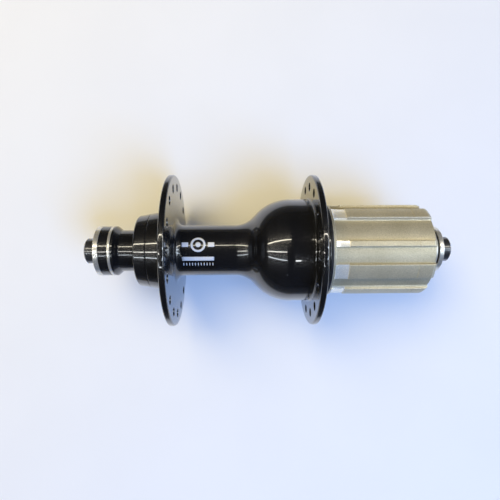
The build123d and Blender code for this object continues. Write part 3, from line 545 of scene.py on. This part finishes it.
# The hub shell is four turned surfaces that stop at the rings of spoke holes. Between them, each hole
# is a tube of rows: straight lines lead from the sector's four-sided outline to the hole's round rim.
def makeHubShell(s):
    s = SimpleNamespace(**s)
    leftOuter = shellHigh - s.leftBossLength
    leftInner = leftOuter - s.flangeWidth
    rightOuter = shellLow + s.rightBossLength
    rightInner = rightOuter + s.flangeWidth
    ringIn, ringOut = s.holeCircle - s.patchInside, s.holeCircle + s.patchOutside
    angles = evenAngles(s.columns)

    def rim(outer, inner):
        return roundedPath([(ringOut, outer, 0), (flangeRadius, outer, s.flangeRound),
                            (flangeRadius, inner, s.flangeRound), (ringOut, inner, 0)], False)

    crownY = rightInner + s.bellCrown
    bellCentre = np.array([s.bell - s.bellRound, crownY])
    neckRadius = s.barrel + s.neckRound
    reach = s.bellRound + s.neckRound
    neckY = crownY + math.sqrt(reach ** 2 - (neckRadius - bellCentre[0]) ** 2)
    toNeck = np.array([neckRadius, neckY]) - bellCentre
    bend = math.atan2(toNeck[1], toNeck[0])
    neckTurn = np.linspace(0, bend, s.neckSteps)[:-1]
    bellTurn = np.linspace(bend, 0, s.bellSteps)
    neckArc = np.stack([np.cos(neckTurn), np.sin(neckTurn)], -1) * -s.neckRound + [neckRadius, neckY]
    bellArc = np.stack([np.cos(bellTurn), np.sin(bellTurn)], -1) * s.bellRound + bellCentre
    arcs = np.concatenate([neckArc, bellArc])
    waist = np.concatenate([
        [(ringIn, leftInner, 0), (s.barrel, leftInner, s.barrelRoot),
         (s.barrel, 0.5 * (leftInner + neckY), 0)],
        np.c_[arcs, np.zeros(len(arcs))],
        [(s.bell, rightInner, s.bellRoot), (ringIn, rightInner, 0)]])

    floorY = shellLow + s.ratchetDepth
    seatEnd = floorY + s.rightSeatDepth
    leftSeat = shellHigh - s.leftSeatDepth
    lipTop = seatEnd + s.lipLength
    barrelTop, leftLip, soft = lipTop + s.lip - s.barrelBore, leftSeat - s.lipLength, s.boreRound
    inside = [
        (ringIn, rightOuter, 0), (s.rightBoss, rightOuter, s.rightRootRound),
        (s.rightBoss, shellLow, s.mouthRound), (s.ratchetBore, shellLow, s.ratchetRound),
        (s.ratchetBore, floorY, soft), (s.seat, floorY, soft), (s.seat, seatEnd, soft),
        (s.lip, seatEnd, soft), (s.lip, lipTop, soft), (s.barrelBore, barrelTop, s.barrelBoreRound),
        (s.barrelBore, leftLip, soft), (s.lip, leftLip, soft), (s.lip, leftSeat, soft),
        (s.seat, leftSeat, soft), (s.seat, shellHigh, soft), (s.leftBossEnd, shellHigh, s.seamRound),
        (s.leftBossRoot, leftOuter, s.leftRootRound), (ringIn, leftOuter, 0)]
    grids, edges = [], []
    paths = (rim(leftOuter, leftInner), roundedPath(waist, False), rim(rightInner, rightOuter),
             roundedPath(inside, False, s.insideSteps))
    for path, onEdge in paths:
        grids.append((turnedGrid(path, angles), False, True))
        edges.append(onEdge)

    perHole, sector = s.columns // s.holes, s.sectorSteps
    half = math.pi / s.holes
    across = np.linspace(-half, half, perHole + 1)
    up = np.linspace(ringIn, ringOut, sector + 1)
    outline = np.concatenate([
        np.stack([np.full(perHole, ringOut), across[:-1]], -1),
        np.stack([up[::-1][:-1], np.full(sector, half)], -1),
        np.stack([np.full(perHole, ringIn), across[::-1][:-1]], -1),
        np.stack([up[:-1], np.full(sector, -half)], -1)])
    flatOut = outline[:, :1] * np.stack([np.sin(outline[:, 1]), np.cos(outline[:, 1])], -1)
    centre = np.array([0.0, s.holeCircle])
    away = flatOut - centre
    direction = away / np.linalg.norm(away, axis=1, keepdims=True)
    spread = np.array(s.leads)[:, None, None]
    still, wide = np.zeros(len(spread)), s.sinkRadius + s.sinkMargin
    for faceA, faceB, offset in ((leftOuter, leftInner, 0.0), (rightInner, rightOuter, half)):
        wall, onEdge = roundedPath([
            (wide, faceA, 0), (s.sinkRadius, faceA, s.sinkRound),
            (s.holeRadius, faceA - s.sinkDepth, s.sinkRound),
            (s.holeRadius, faceB + s.sinkDepth, s.sinkRound),
            (s.sinkRadius, faceB, s.sinkRound), (wide, faceB, 0)], False, s.insideSteps)
        hole = centre[None, None, :] + direction[None] * wall[:, 0][:, None, None]
        lead = spread * flatOut[None] + (1 - spread) * hole[0][None]
        tail = spread[::-1] * flatOut[None] + (1 - spread[::-1]) * hole[-1][None]
        flat = np.concatenate([lead, hole, tail])[None]
        y = np.r_[still + faceA, wall[:, 1], still + faceB][None, :, None]
        turns = (np.arange(s.holes) * 2 * half + offset)[:, None, None]
        x = flat[..., 0] * np.cos(turns) + flat[..., 1] * np.sin(turns)
        z = flat[..., 1] * np.cos(turns) - flat[..., 0] * np.sin(turns)
        tubes = np.stack([x, np.broadcast_to(y, x.shape), z], -1)
        grids += [(tube[:, ::-1], False, True) for tube in tubes]  # turned round, so all faces agree
        edges += [np.r_[still, onEdge, still]] * len(tubes)
    return meshFromGrids("hubShell", grids, edges)


addPiece("hubShell", makeHubShell(hubShell), "shell", "hub_shell")


threadBore, seatBore = 5.01, 6.01  # over the axle's thread and over its seats
capLow, capHigh, capRadius = spanOf("left_dust_cap")
dustCap = {
    "bore": 8.15, "lip": 10.0, "spigot": 12.0, "spigotLength": 1.3, "face": 13.35, "faceRound": 0.8,
    "seam": 0.28, "boreRound": 0.3, "round": 0.1, "seamRoot": 0.05, "columns": 320,
}
dust = SimpleNamespace(**dustCap)
seamY = capLow + dust.spigotLength
turnedPiece("leftDustCap", [
    (dust.bore, seamY, dust.round), (dust.bore, capHigh, dust.boreRound),
    (dust.face, capHigh, dust.faceRound), (capRadius, seamY, dust.seam),
    (dust.spigot, seamY, dust.seamRoot), (dust.spigot, capLow, dust.round),
    (dust.lip, capLow, dust.round), (dust.lip, seamY, dust.round)],
    "shell", "left_dust_cap", dust.columns)

endLow, endHigh, ringRadius = spanOf("left_end_cap")
endCap = {
    "sleeve": 7.9, "rim": 0.81, "cone": 1.9, "boreStep": 3.0, "round": 0.1, "sleeveRound": 0.15,
    "coneRound": 0.35, "rimRound": 0.18,
}
end = SimpleNamespace(**endCap)
coneTop, stepY, soft = endHigh - end.rim, endLow + end.boreStep, end.round
turnedPiece("leftEndCap", [
    (seatBore, endLow, soft), (end.sleeve, endLow, end.sleeveRound),
    (end.sleeve, coneTop - end.cone, end.coneRound), (ringRadius, coneTop, end.rimRound),
    (ringRadius, endHigh, soft), (threadBore, endHigh, soft), (threadBore, stepY, soft),
    (seatBore, stepY, soft)],
    "axle_assembly", "left_end_cap")

leftWasher = {"bore": threadBore, "boreEdge": 0.1, "edge": 0.17}
plainRing("leftWasher", leftWasher, "axle_assembly", "left_washer")

leftLockRing = {"bore": threadBore, "boreEdge": 0.1, "edge": 0.14}
plainRing("leftLockRing", leftLockRing, "axle_assembly", "left_lock_ring")


# A dropout nut: a turned ring whose outer face is cut into radial teeth. The face drops by the tooth
# depth times a triangle wave of the angle, faded in and out between two radii.
def makeToothedNut(name, node, outwards, s):
    low, high, outer = spanOf(node)
    inner, last, fadeWidth = s["from"], s["to"], s["fade"]
    face, back = (high, low) if outwards > 0 else (low, high)
    ramp = np.array([inner - fadeWidth, inner, 0.5 * (inner + last), last, last + fadeWidth])
    fade = np.array([0.0, 1.0, 1.0, 1.0, 0.0])
    profile, onEdge = roundedPath([
        (threadBore, back, s["backBoreEdge"]), (threadBore, face, s["boreEdge"]),
        *[(r, face, 0) for r in ramp], (outer, face, s["edge"]), (outer, back, s["backEdge"])])
    columns = s["count"] * s["columnsPerTooth"]
    grid = turnedGrid(profile, evenAngles(columns))
    wave = np.abs(2 * (np.arange(columns) % s["columnsPerTooth"]) / s["columnsPerTooth"] - 1)
    onFace = np.abs(profile[:, 1] - face) < pathRules["leastGap"]
    cut = np.interp(profile[:, 0], ramp, fade, left=0, right=0) * onFace
    grid[..., 1] -= outwards * s["depth"] * cut[:, None] * wave[None, :]
    addPiece(name, meshFromGrids(name, [(grid, True, True)], [onEdge]), "axle_assembly", node)


leftNut = {
    "from": 5.9, "to": 8.7, "fade": 0.15, "depth": 0.22, "count": 60, "columnsPerTooth": 6, "edge": 0.45,
    "boreEdge": 0.25, "backBoreEdge": 0.1, "backEdge": 0.12,
}
makeToothedNut("leftDropoutNut", "left_dropout_nut", 1, leftNut)

axle = {
    "tip": 4.83, "bore": 2.65, "thread": 5.0, "seat": 6.0, "collar": 7.2, "tipEdge": 0.5, "boreEdge": 0.4,
    "threadEnd": 4.6, "leftSeatEnd": 23.2, "rightSeatEnd": 19.75, "collarFrom": -0.7, "collarTo": 37.6,
    "boreRounds": (0.05, 0.06), "tipRounds": (0.08, 0.12), "threadRounds": (0.02, 0.03, 0.05),
    "seatRound": 0.1, "collarRound": 0.2, "columns": 192,
}


# Corners from the bore's mouth over the tip to the collar.
def halfAxle(s, tipY, inwards, seatEnd, collarY):
    s = SimpleNamespace(**s)
    threadY, seatY = tipY + inwards * s.threadEnd, tipY + inwards * seatEnd
    boreIn, boreOut = s.boreRounds
    tipFace, tipSide = s.tipRounds
    stepIn, stepOut, threadLast = s.threadRounds
    return [(s.bore, tipY + inwards * s.boreEdge, boreIn), (s.bore + s.boreEdge, tipY, boreOut),
            (s.tip - s.tipEdge, tipY, tipFace), (s.tip, tipY + inwards * s.tipEdge, tipSide),
            (s.tip, threadY, stepIn), (s.thread, threadY, stepOut), (s.thread, seatY, threadLast),
            (s.seat, seatY, s.seatRound), (s.seat, collarY, s.seatRound),
            (s.collar, collarY, s.collarRound)]


axleLow, axleHigh = spanOf("axle")[:2]
rightHalf = halfAxle(axle, axleLow, 1, axle["rightSeatEnd"], axle["collarFrom"])
leftHalf = halfAxle(axle, axleHigh, -1, axle["leftSeatEnd"], axle["collarTo"])
turnedPiece("axle", rightHalf + leftHalf[::-1], "axle_assembly", "axle", axle["columns"])

capLow, capHigh, capRadius = spanOf("right_end_cap")
rightCap = {
    "sleeve": 7.9, "step": 3.5, "boreStep": 3.0, "edge": 0.3, "round": 0.1, "sleeveRound": 0.12,
    "stepRound": 0.15, "shoulderRound": 0.2,
}
cap = SimpleNamespace(**rightCap)
shoulderY, stepY, soft = capHigh - cap.step, capHigh - cap.boreStep, cap.round
turnedPiece("rightEndCap", [
    (seatBore, capHigh, soft), (cap.sleeve, capHigh, cap.sleeveRound),
    (cap.sleeve, shoulderY, cap.stepRound), (capRadius, shoulderY, cap.shoulderRound),
    (capRadius, capLow + cap.edge, soft), (capRadius - cap.edge, capLow, soft),
    (threadBore, capLow, soft), (threadBore, stepY, soft), (seatBore, stepY, soft)],
    "axle_assembly", "right_end_cap")

rightWasher = {"bore": threadBore, "boreEdge": 0.05, "edge": 0.12}
plainRing("rightWasher", rightWasher, "axle_assembly", "right_washer")

rightNut = {**leftNut, "to": 7.9, "count": 56, "edge": 0.5}
makeToothedNut("rightDropoutNut", "right_dropout_nut", -1, rightNut)

freehubSeal = {"bore": 15.61, "boreEdge": 0.05, "edge": 0.22, "columns": 320}
plainRing("freehubSeal", freehubSeal, "freehub", "freehub_seal", freehubSeal["columns"])

bodyLow, bodyHigh = spanOf("freehub_body")[:2]
freehubBody = {
    "spline": 17.3, "root": 15.7, "splineLength": 36.2, "firstCentre": -28.3, "pitch": 40.0, "splines": 9,
    "skipped": 1, "width": 19.6, "narrowCentre": 6.8, "narrowWidth": 7.2, "edgeRound": 0.22,
    "flank": 0.12, "collar": 17.45, "collarLength": 0.8, "neck": 15.6, "neckLength": 3.7,
    "noseRadius": 13.2, "noseBore": 8.0, "relief": 16.95, "reliefLength": 5.1, "reliefRun": 2.1,
    "runSteps": 7, "markFromEnd": 6.4, "markWidth": 0.3, "markDepth": 0.18, "endDrop": 0.6,
    "endChamfer": 1.1, "mouth": 14.7, "mouthDepth": 9.2, "mouthChamfer": 0.3, "threadPitch": 1.0,
    "threadDepth": 0.35, "threadFrom": 0.5, "threadTurns": 7.4, "threadStep": 0.125, "threadStart": 0.3,
    "threadFade": 0.4, "seat": 12.01, "groove": 12.85, "grooveFrom": 10.24, "grooveTo": 11.36,
    "seatEnd": 36.4, "lip": 10.0, "lipLength": 1.0, "pawls": 3, "pawlFirst": 20.0, "pivot": 11.6,
    "heel": 1.63, "pocketFloor": -2.35, "floorStart": 1.2, "pocketEnd": 7.153, "pocketFrom": 0.7,
    "pocketTo": 8.3, "pocketWall": 0.02, "pocketRim": 2.0, "floorSteps": 8, "close": 0.01,
    "columnDegrees": 1.5, "steps": 4, "sharp": 0.02, "fine": 0.05, "soft": 0.1, "round": 0.15,
    "noseRound": 0.2, "collarRound": 0.12, "reliefRound": 0.06, "lipRound": 0.08, "wornShare": 0.3,
    "machinedRise": 0.9,
}


# The radius of the splined outline at each angle: root and top, joined by steep flanks with a
# rounded top corner, read from a list of knots going once round.
def splineRadius(s, degreesList):
    wide = [k for k in range(s.splines) if k != s.skipped]
    centres = [(s.firstCentre + k * s.pitch, s.width) for k in wide]
    table = np.array(sorted([*centres, (s.narrowCentre, s.narrowWidth)]))
    roundAngle = np.degrees(s.edgeRound / s.spline)
    turn = np.linspace(0, np.pi / 2, 5)
    riseAngle = np.r_[-s.flank, roundAngle * (1 - np.cos(turn))]
    riseRadius = np.r_[s.root, s.spline - s.edgeRound * (1 - np.sin(turn))]
    up = (table[:, 0] - table[:, 1] / 2)[:, None] + riseAngle[None]
    down = ((table[:, 0] + table[:, 1] / 2)[:, None] - riseAngle[None])[:, ::-1]
    knots = np.concatenate([up, down], axis=1).reshape(-1)
    heights = np.tile(np.r_[riseRadius, riseRadius[::-1]], len(table))
    return knots, np.interp(degreesList, knots, heights, period=360)


# The radius of the nose at each angle where a pawl lies in it: the pocket's heel arc, sloping floor
# and end wall, each turned from lengths beside the pivot into angle and radius.
def pocketRadius(s, degreesList):
    turn = np.linspace(-np.pi / 2, 0, 7)
    heelT, heelN = s.heel * np.sin(turn), -s.heel * np.cos(turn)
    floorT = np.linspace(s.floorStart, s.pocketEnd, s.floorSteps)
    t = np.r_[heelT[0] - s.pocketWall, heelT, floorT, s.pocketEnd + s.pocketWall]
    n = np.r_[s.pocketRim, heelN, np.full(s.floorSteps, s.pocketFloor), s.pocketRim]
    angle = np.degrees(np.arctan2(t, s.pivot + n))
    radius = np.minimum(np.hypot(s.pivot + n, t), s.noseRadius)
    radius[[0, -1]] = s.noseRadius
    heels = s.pawlFirst + np.arange(s.pawls) * 360 / s.pawls
    knots = (heels[:, None] + angle[None]).reshape(-1)
    return knots, np.interp(degreesList, knots, np.tile(radius, s.pawls), period=360)


# The freehub body on one grid: along the rows the turned profile, and round them the splines and
# pockets, so a point's radius is the smaller of the turned and the splined radius. In the mouth
# the radius swells by the thread's depth times a triangle wave of (distance / pitch + turn).
def makeFreehubBody(s):
    s = SimpleNamespace(**s)
    splineKnots = splineRadius(s, np.zeros(1))[0]
    pocketKnots = pocketRadius(s, np.zeros(1))[0]
    evenly = np.arange(round(360 / s.columnDegrees)) * s.columnDegrees
    columns = np.unique(np.round(np.r_[evenly, splineKnots % 360, pocketKnots % 360], 3))
    splined, pocketed = splineRadius(s, columns)[1], pocketRadius(s, columns)[1]
    start = bodyLow + s.splineLength
    collarEnd = start + s.collarLength
    neckEnd = collarEnd + s.neckLength
    reliefEnd = start - s.reliefLength
    markY, markHalf = bodyLow + s.markFromEnd, s.markWidth / 2
    runTurn = np.linspace(1, 0, s.runSteps)
    runRadius = s.relief + (s.spline - s.relief) * runTurn ** 2
    runIn = np.stack([runRadius, start - s.reliefRun * (1 - runTurn), 0 * runTurn], -1)
    threadRows = np.arange(0, s.threadTurns + s.close, s.threadStep) + s.threadFrom
    pocketA, pocketB = bodyHigh - s.pocketFrom, bodyHigh - s.pocketTo
    seatTop, lipTop = bodyLow + s.seatEnd, bodyLow + s.seatEnd + s.lipLength
    grooveA, grooveB, floorY = bodyLow + s.grooveFrom, bodyLow + s.grooveTo, bodyLow + s.mouthDepth
    big, nose, close = s.spline, s.noseRadius, s.close
    sharp, fine, soft = s.sharp, s.fine, s.soft
    corners = [
        (s.noseBore, bodyHigh, soft), (nose, bodyHigh, s.noseRound), (nose, pocketA + close, 0),
        (nose, pocketA - close, 0), (nose, pocketB + close, 0), (nose, pocketB - close, 0),
        (nose, neckEnd, soft),
        (s.neck, neckEnd, s.round), (s.neck, collarEnd, fine), (s.collar, collarEnd, s.collarRound),
        (s.collar, start, soft), *runIn, (s.relief, reliefEnd, fine), (big, reliefEnd, s.reliefRound),
        (big, markY + markHalf, sharp), (big - s.markDepth, markY + markHalf, sharp),
        (big - s.markDepth, markY - markHalf, sharp), (big, markY - markHalf, sharp),
        (big, bodyLow + s.endChamfer, s.round), (big - s.endDrop, bodyLow, s.collarRound),
        (s.root - sharp, bodyLow, 0), (s.mouth + s.mouthChamfer, bodyLow, fine),
        (s.mouth, bodyLow + s.mouthChamfer, fine), *[(s.mouth, bodyLow + row, 0) for row in threadRows],
        (s.mouth, floorY, soft), (s.seat, floorY, s.collarRound), (s.seat, grooveA, fine),
        (s.groove, grooveA, fine), (s.groove, grooveB, fine), (s.seat, grooveB, fine),
        (s.seat, seatTop, fine), (s.lip, seatTop, s.lipRound), (s.lip, lipTop, s.lipRound),
        (s.noseBore, lipTop, s.lipRound)]
    profile, onEdge = roundedPath(corners, True, s.steps)
    radius, y = profile[:, 0][:, None], profile[:, 1][:, None]
    grid = np.broadcast_to(radius, (len(profile), len(columns))).copy()
    outside = (radius > s.root - close) & (y < start + 0.1 * close)
    grid = np.where(outside, np.minimum(grid, splined[None]), grid)
    inPocket = (radius > nose - close) & (y < pocketA) & (y > pocketB)
    grid = np.where(inPocket, np.minimum(grid, pocketed[None]), grid)
    depth = y - bodyLow
    along, left = depth - s.threadFrom, s.threadFrom + s.threadTurns - depth
    least = pathRules["leastGap"]
    threaded = (np.abs(radius - s.mouth) < least) & (along >= -least) & (left >= -close)
    wave = 1 - np.abs(2 * ((depth / s.threadPitch + columns[None] / 360) % 1) - 1)
    fade = np.clip(along / s.threadStart, 0, 1) * np.clip(left / s.threadFade, 0, 1)
    grid = np.where(threaded, grid + s.threadDepth * wave * fade, grid)
    turn = np.radians(columns)[None]
    points = np.stack([grid * np.sin(turn), np.broadcast_to(y, grid.shape), grid * np.cos(turn)], -1)
    fromEdge = splined - s.spline + 0.5 * s.edgeRound
    topEdge = np.exp(-(fromEdge / (s.wornShare * s.edgeRound)) ** 2)
    uncut = np.where(grid < radius - close, 0.0, onEdge[:, None])
    edge = np.maximum(uncut, np.where(outside, topEdge[None], 0.0))
    cut = (y < start + sharp) & (y > reliefEnd - sharp) & (radius > s.root + 0.5)
    cut = cut & (splined[None] > s.root + s.machinedRise)
    inside = (radius < s.mouth + s.threadFade) & (y < start)
    machined = np.where(cut | inside, 1.0, 0.0) * np.ones_like(grid)
    return meshFromGrids("freehubBody", [(points, True, True)], [edge], machined)


addPiece("freehubBody", makeFreehubBody(freehubBody), "freehub", "freehub_body")

barrelMark = {
    "height": 0.02, "depth": 0.05, "middle": 26.7, "length": 11.7, "emblemAngle": 12.5,
    "ringRadius": 2.75, "ringWidth": 0.8, "dotRadius": 0.95, "wingLength": 2.4, "wingHeight": 1.7,
    "wingGap": 0.8, "wingCorner": 0.15, "barAngle": -18.6, "barHeight": 1.5, "barCorner": 0.1,
    "tickAngle": -31.8, "tickHeight": 1.15, "tickWidth": 0.3, "tickCorner": 0.06, "ticks": 11,
    "pinch": 0.001, "rows": 5, "tickRows": 3, "roundColumns": 40,
}


# A printed patch wrapped on the barrel: rows run from an inner outline to an outer one, and a point
# (s along the axis, t round it) goes to angle = t / radius, so the patch keeps its size on the curve.
def wrappedPatch(s, outer, inner, centreY, centreAngle, rows):
    blend = np.linspace(0, 1, rows)[:, None, None]
    flat = inner[None] * (1 - blend) + outer[None] * blend
    flat = np.concatenate([flat[:1], flat, flat[-1:]])
    lift = np.full(len(flat), s.height)
    lift[[0, -1]] = -s.depth
    radius = hubShell["barrel"] + lift[:, None]
    angle = math.radians(centreAngle) + flat[..., 1] / hubShell["barrel"]
    return np.stack([radius * np.sin(angle), centreY + flat[..., 0], radius * np.cos(angle)], -1)


def roundOutline(s, radius):
    turn = evenAngles(s.roundColumns)
    return np.stack([radius * np.cos(turn), radius * np.sin(turn)], -1)


def boxOutline(length, height, corner):
    signs = np.array([(-1, -1), (1, -1), (1, 1), (-1, 1)]) * 0.5
    return roundedPath(np.c_[signs * [length, height], np.full(4, corner)], True, 4)[0]


def makeBarrelMark(s):
    s = SimpleNamespace(**s)
    middle, pinch, rows = s.middle, s.pinch, s.rows
    outer, inner = roundOutline(s, s.ringRadius), roundOutline(s, s.ringRadius - s.ringWidth)
    dot = roundOutline(s, s.dotRadius)
    wing = boxOutline(s.wingLength, s.wingHeight, s.wingCorner)
    bar = boxOutline(s.length, s.barHeight, s.barCorner)
    tick = boxOutline(s.tickWidth, s.tickHeight, s.tickCorner)
    offset = s.ringRadius + s.wingGap + s.wingLength / 2
    places = middle + (np.arange(s.ticks) - (s.ticks - 1) / 2) * s.length / s.ticks
    patches = [
        wrappedPatch(s, outer, inner, middle, s.emblemAngle, rows),
        wrappedPatch(s, dot, dot * pinch, middle, s.emblemAngle, rows),
        *[wrappedPatch(s, wing, wing * pinch, middle + shift, s.emblemAngle, rows)
          for shift in (-offset, offset)],
        wrappedPatch(s, bar, bar * pinch, middle, s.barAngle, rows),
        *[wrappedPatch(s, tick, tick * pinch, place, s.tickAngle, s.tickRows) for place in places]]
    return meshFromGrids("barrelMark", [(patch, True, True) for patch in patches])


addPiece("barrelMark", makeBarrelMark(barrelMark), "shell", finish="markWhite")

for nodeName, slotName in slotOf.items():
    for place in cadNodes[nodeName].material_slots:
        place.material = materials[slotFinish[slotName]]
print("finishes given to the CAD nodes that stay")

floorLook = {
    "size": 4.0, "drop": 0.00002, "white": (0.86, 0.86, 0.86), "dim": (0.847, 0.847, 0.847),
    "grain": 0.25, "drift": 40.0, "rough": 0.9, "gloss": 0.1, "bumpDepth": 0.00002, "bump": 0.15,
    # the last colour is painted shade, seen only in reflections of the sheet past its reach
    "sheetReach": 0.085, "sheetFade": 0.115, "beyond": (0.05, 0.05, 0.052),
}


# A flat sheet under the object, evenly pale to the camera. In reflections only, it is painted dark beyond
# its reach: a painted dark reflection.
def makeFloor(s):
    s = SimpleNamespace(**s)
    side = np.array([-0.5, 0.5]) * s.size
    x, y = np.meshgrid(side, side)
    points = np.stack([x, y, np.full_like(x, cadLow.z - s.drop)], -1) / mm
    mesh = meshFromGrids("floor", [(points, False, False)])
    floor = newObject("floor", mesh)
    skin = {"Roughness": s.rough, "Specular IOR Level": s.gloss}
    material, sheet, shader = startMaterial("paper", skin)
    split = sheet.add("ShaderNodeSeparateXYZ")
    sheet.join(sheet.objectPlace(), split.inputs[0])
    distance = sheet.maths("ABSOLUTE", split.outputs[0])
    reach = sheet.remap(distance, s.sheetReach, s.sheetFade, 0.0, 1.0)
    # painted reflection: for glossy rays only, the sheet turns dark past its reach
    mirrored = sheet.times(reach, sheet.add("ShaderNodeLightPath").outputs["Is Glossy Ray"])
    fibre = placeGroup(sheet, "fineGrain", vars(s), "grain", "drift")
    paper = mixColours(sheet, fibre["Drift"], s.dim, s.white)
    sheet.join(mixColours(sheet, mirrored, paper, s.beyond), shader.inputs["Base Color"])
    bumpFrom(sheet, shader, fibre["Grain"], s.bumpDepth, s.bump)
    mesh.materials.append(material)


makeFloor(floorLook)

# Each lamp faces the object: its place, its size across and along the axle, its power and its colour.
# Strips are only seen mirrored in shiny surfaces, soft lamps only light matt ones.
stripLamps = {
    "stripFront": ((0.404, 0.635, 1.0), (0.045, 1.33), 4.6, (1.0, 0.92, 0.74)),
    "stripMiddle": ((-0.087, 0.75, 1.0), (0.04, 1.1), 2.9, (1.0, 0.97, 0.9)),
    "stripRear": ((-0.435, 0.75, 1.0), (0.04, 1.1), 2.5, (0.86, 0.93, 1.0)),
    "stripFar": ((-0.44, -0.147, 1.0), (0.04, 0.04), 0.16, (0.95, 0.98, 1.0)),
    "stripBeyond": ((0.404, -0.80, 1.0), (0.05, 1.2), 4.4, (1.0, 0.94, 0.82)),
    "stripInner": ((0.06, -0.95, 1.0), (0.05, 0.9), 3.0, (0.8, 0.9, 1.0)),
    "stripOuter": ((-0.25, -0.85, 1.0), (0.05, 1.1), 3.4, (0.7, 0.84, 1.0)),
    "panelDrive": ((-0.05, -1.0, 0.5), (0.6, 0.55), 3.8, (0.75, 0.86, 1.0)),
}
softLamps = {
    "softKey": ((0.1, 0.05, 1.3), (1.2, 1.2), 2.6, (1.0, 0.995, 0.985)),
    "warmSide": ((0.36, 0.33, 0.72), (0.5, 0.5), 4.9, (1.0, 0.78, 0.30)),
    "coolSide": ((-0.36, -0.33, 0.72), (0.5, 0.5), 6.6, (0.18, 0.42, 1.0)),
}


def addLamp(name, place, size, power, colour, mirrored):
    data = bpy.data.lights.new(name, "AREA")
    data.shape = "RECTANGLE"
    data.size, data.size_y = size
    data.energy, data.color = power, colour
    lamp = newObject(name, data)
    spot = Vector(place)
    back = spot.normalized()
    side = Vector((0, 1, 0)).cross(back).normalized()
    along = back.cross(side)
    lamp.matrix_world = Matrix.Translation(spot) @ Matrix((side, along, back)).transposed().to_4x4()
    lamp.visible_camera = False
    lamp.visible_glossy = mirrored
    lamp.visible_diffuse = not mirrored


for lampSet, mirrored in ((stripLamps, True), (softLamps, False)):
    for lampName, lampValues in lampSet.items():
        addLamp(lampName, *lampValues, mirrored)

roomLight = {"seen": (0.80, 0.81, 0.83), "mirrored": (0.022, 0.023, 0.026), "ambient": (0.27, 0.27, 0.27)}
world = bpy.data.worlds.new("room")
world.use_nodes = True
worldSheet = NodeSheet(world.node_tree)
background = world.node_tree.nodes["Background"]
rays = worldSheet.add("ShaderNodeLightPath").outputs
around = mixColours(worldSheet, rays["Is Diffuse Ray"], roomLight["mirrored"], roomLight["ambient"])
around = mixColours(worldSheet, rays["Is Camera Ray"], around, roomLight["seen"])
worldSheet.join(around, background.inputs["Color"])
bpy.context.scene.world = world
bpy.context.scene.view_settings.view_transform = "Standard"

viewpoint = {"spot": (0.0, 0.01215, 0.1557), "lean": 1.73, "roll": 0.33, "lens": 28.8, "sensor": 36.0,
             "nearest": 0.005, "farthest": 20.0}
lean, roll = math.radians(viewpoint["lean"]), math.radians(viewpoint["roll"])
forward = Vector((0.0, -math.sin(lean), -math.cos(lean)))
rightWay = Vector((-math.sin(roll), -math.cos(roll), 0.0))
rightWay = (rightWay - forward * rightWay.dot(forward)).normalized()
upWay = rightWay.cross(forward)
cameraData = bpy.data.cameras.new("camera")
cameraData.lens, cameraData.sensor_width = viewpoint["lens"], viewpoint["sensor"]
cameraData.clip_start, cameraData.clip_end = viewpoint["nearest"], viewpoint["farthest"]
camera = newObject("camera", cameraData)
turned = Matrix((rightWay, upWay, -forward)).transposed().to_4x4()
camera.matrix_world = Matrix.Translation(viewpoint["spot"]) @ turned
bpy.context.scene.camera = camera
bpy.context.view_layer.update()
print("floor, lights and camera placed")
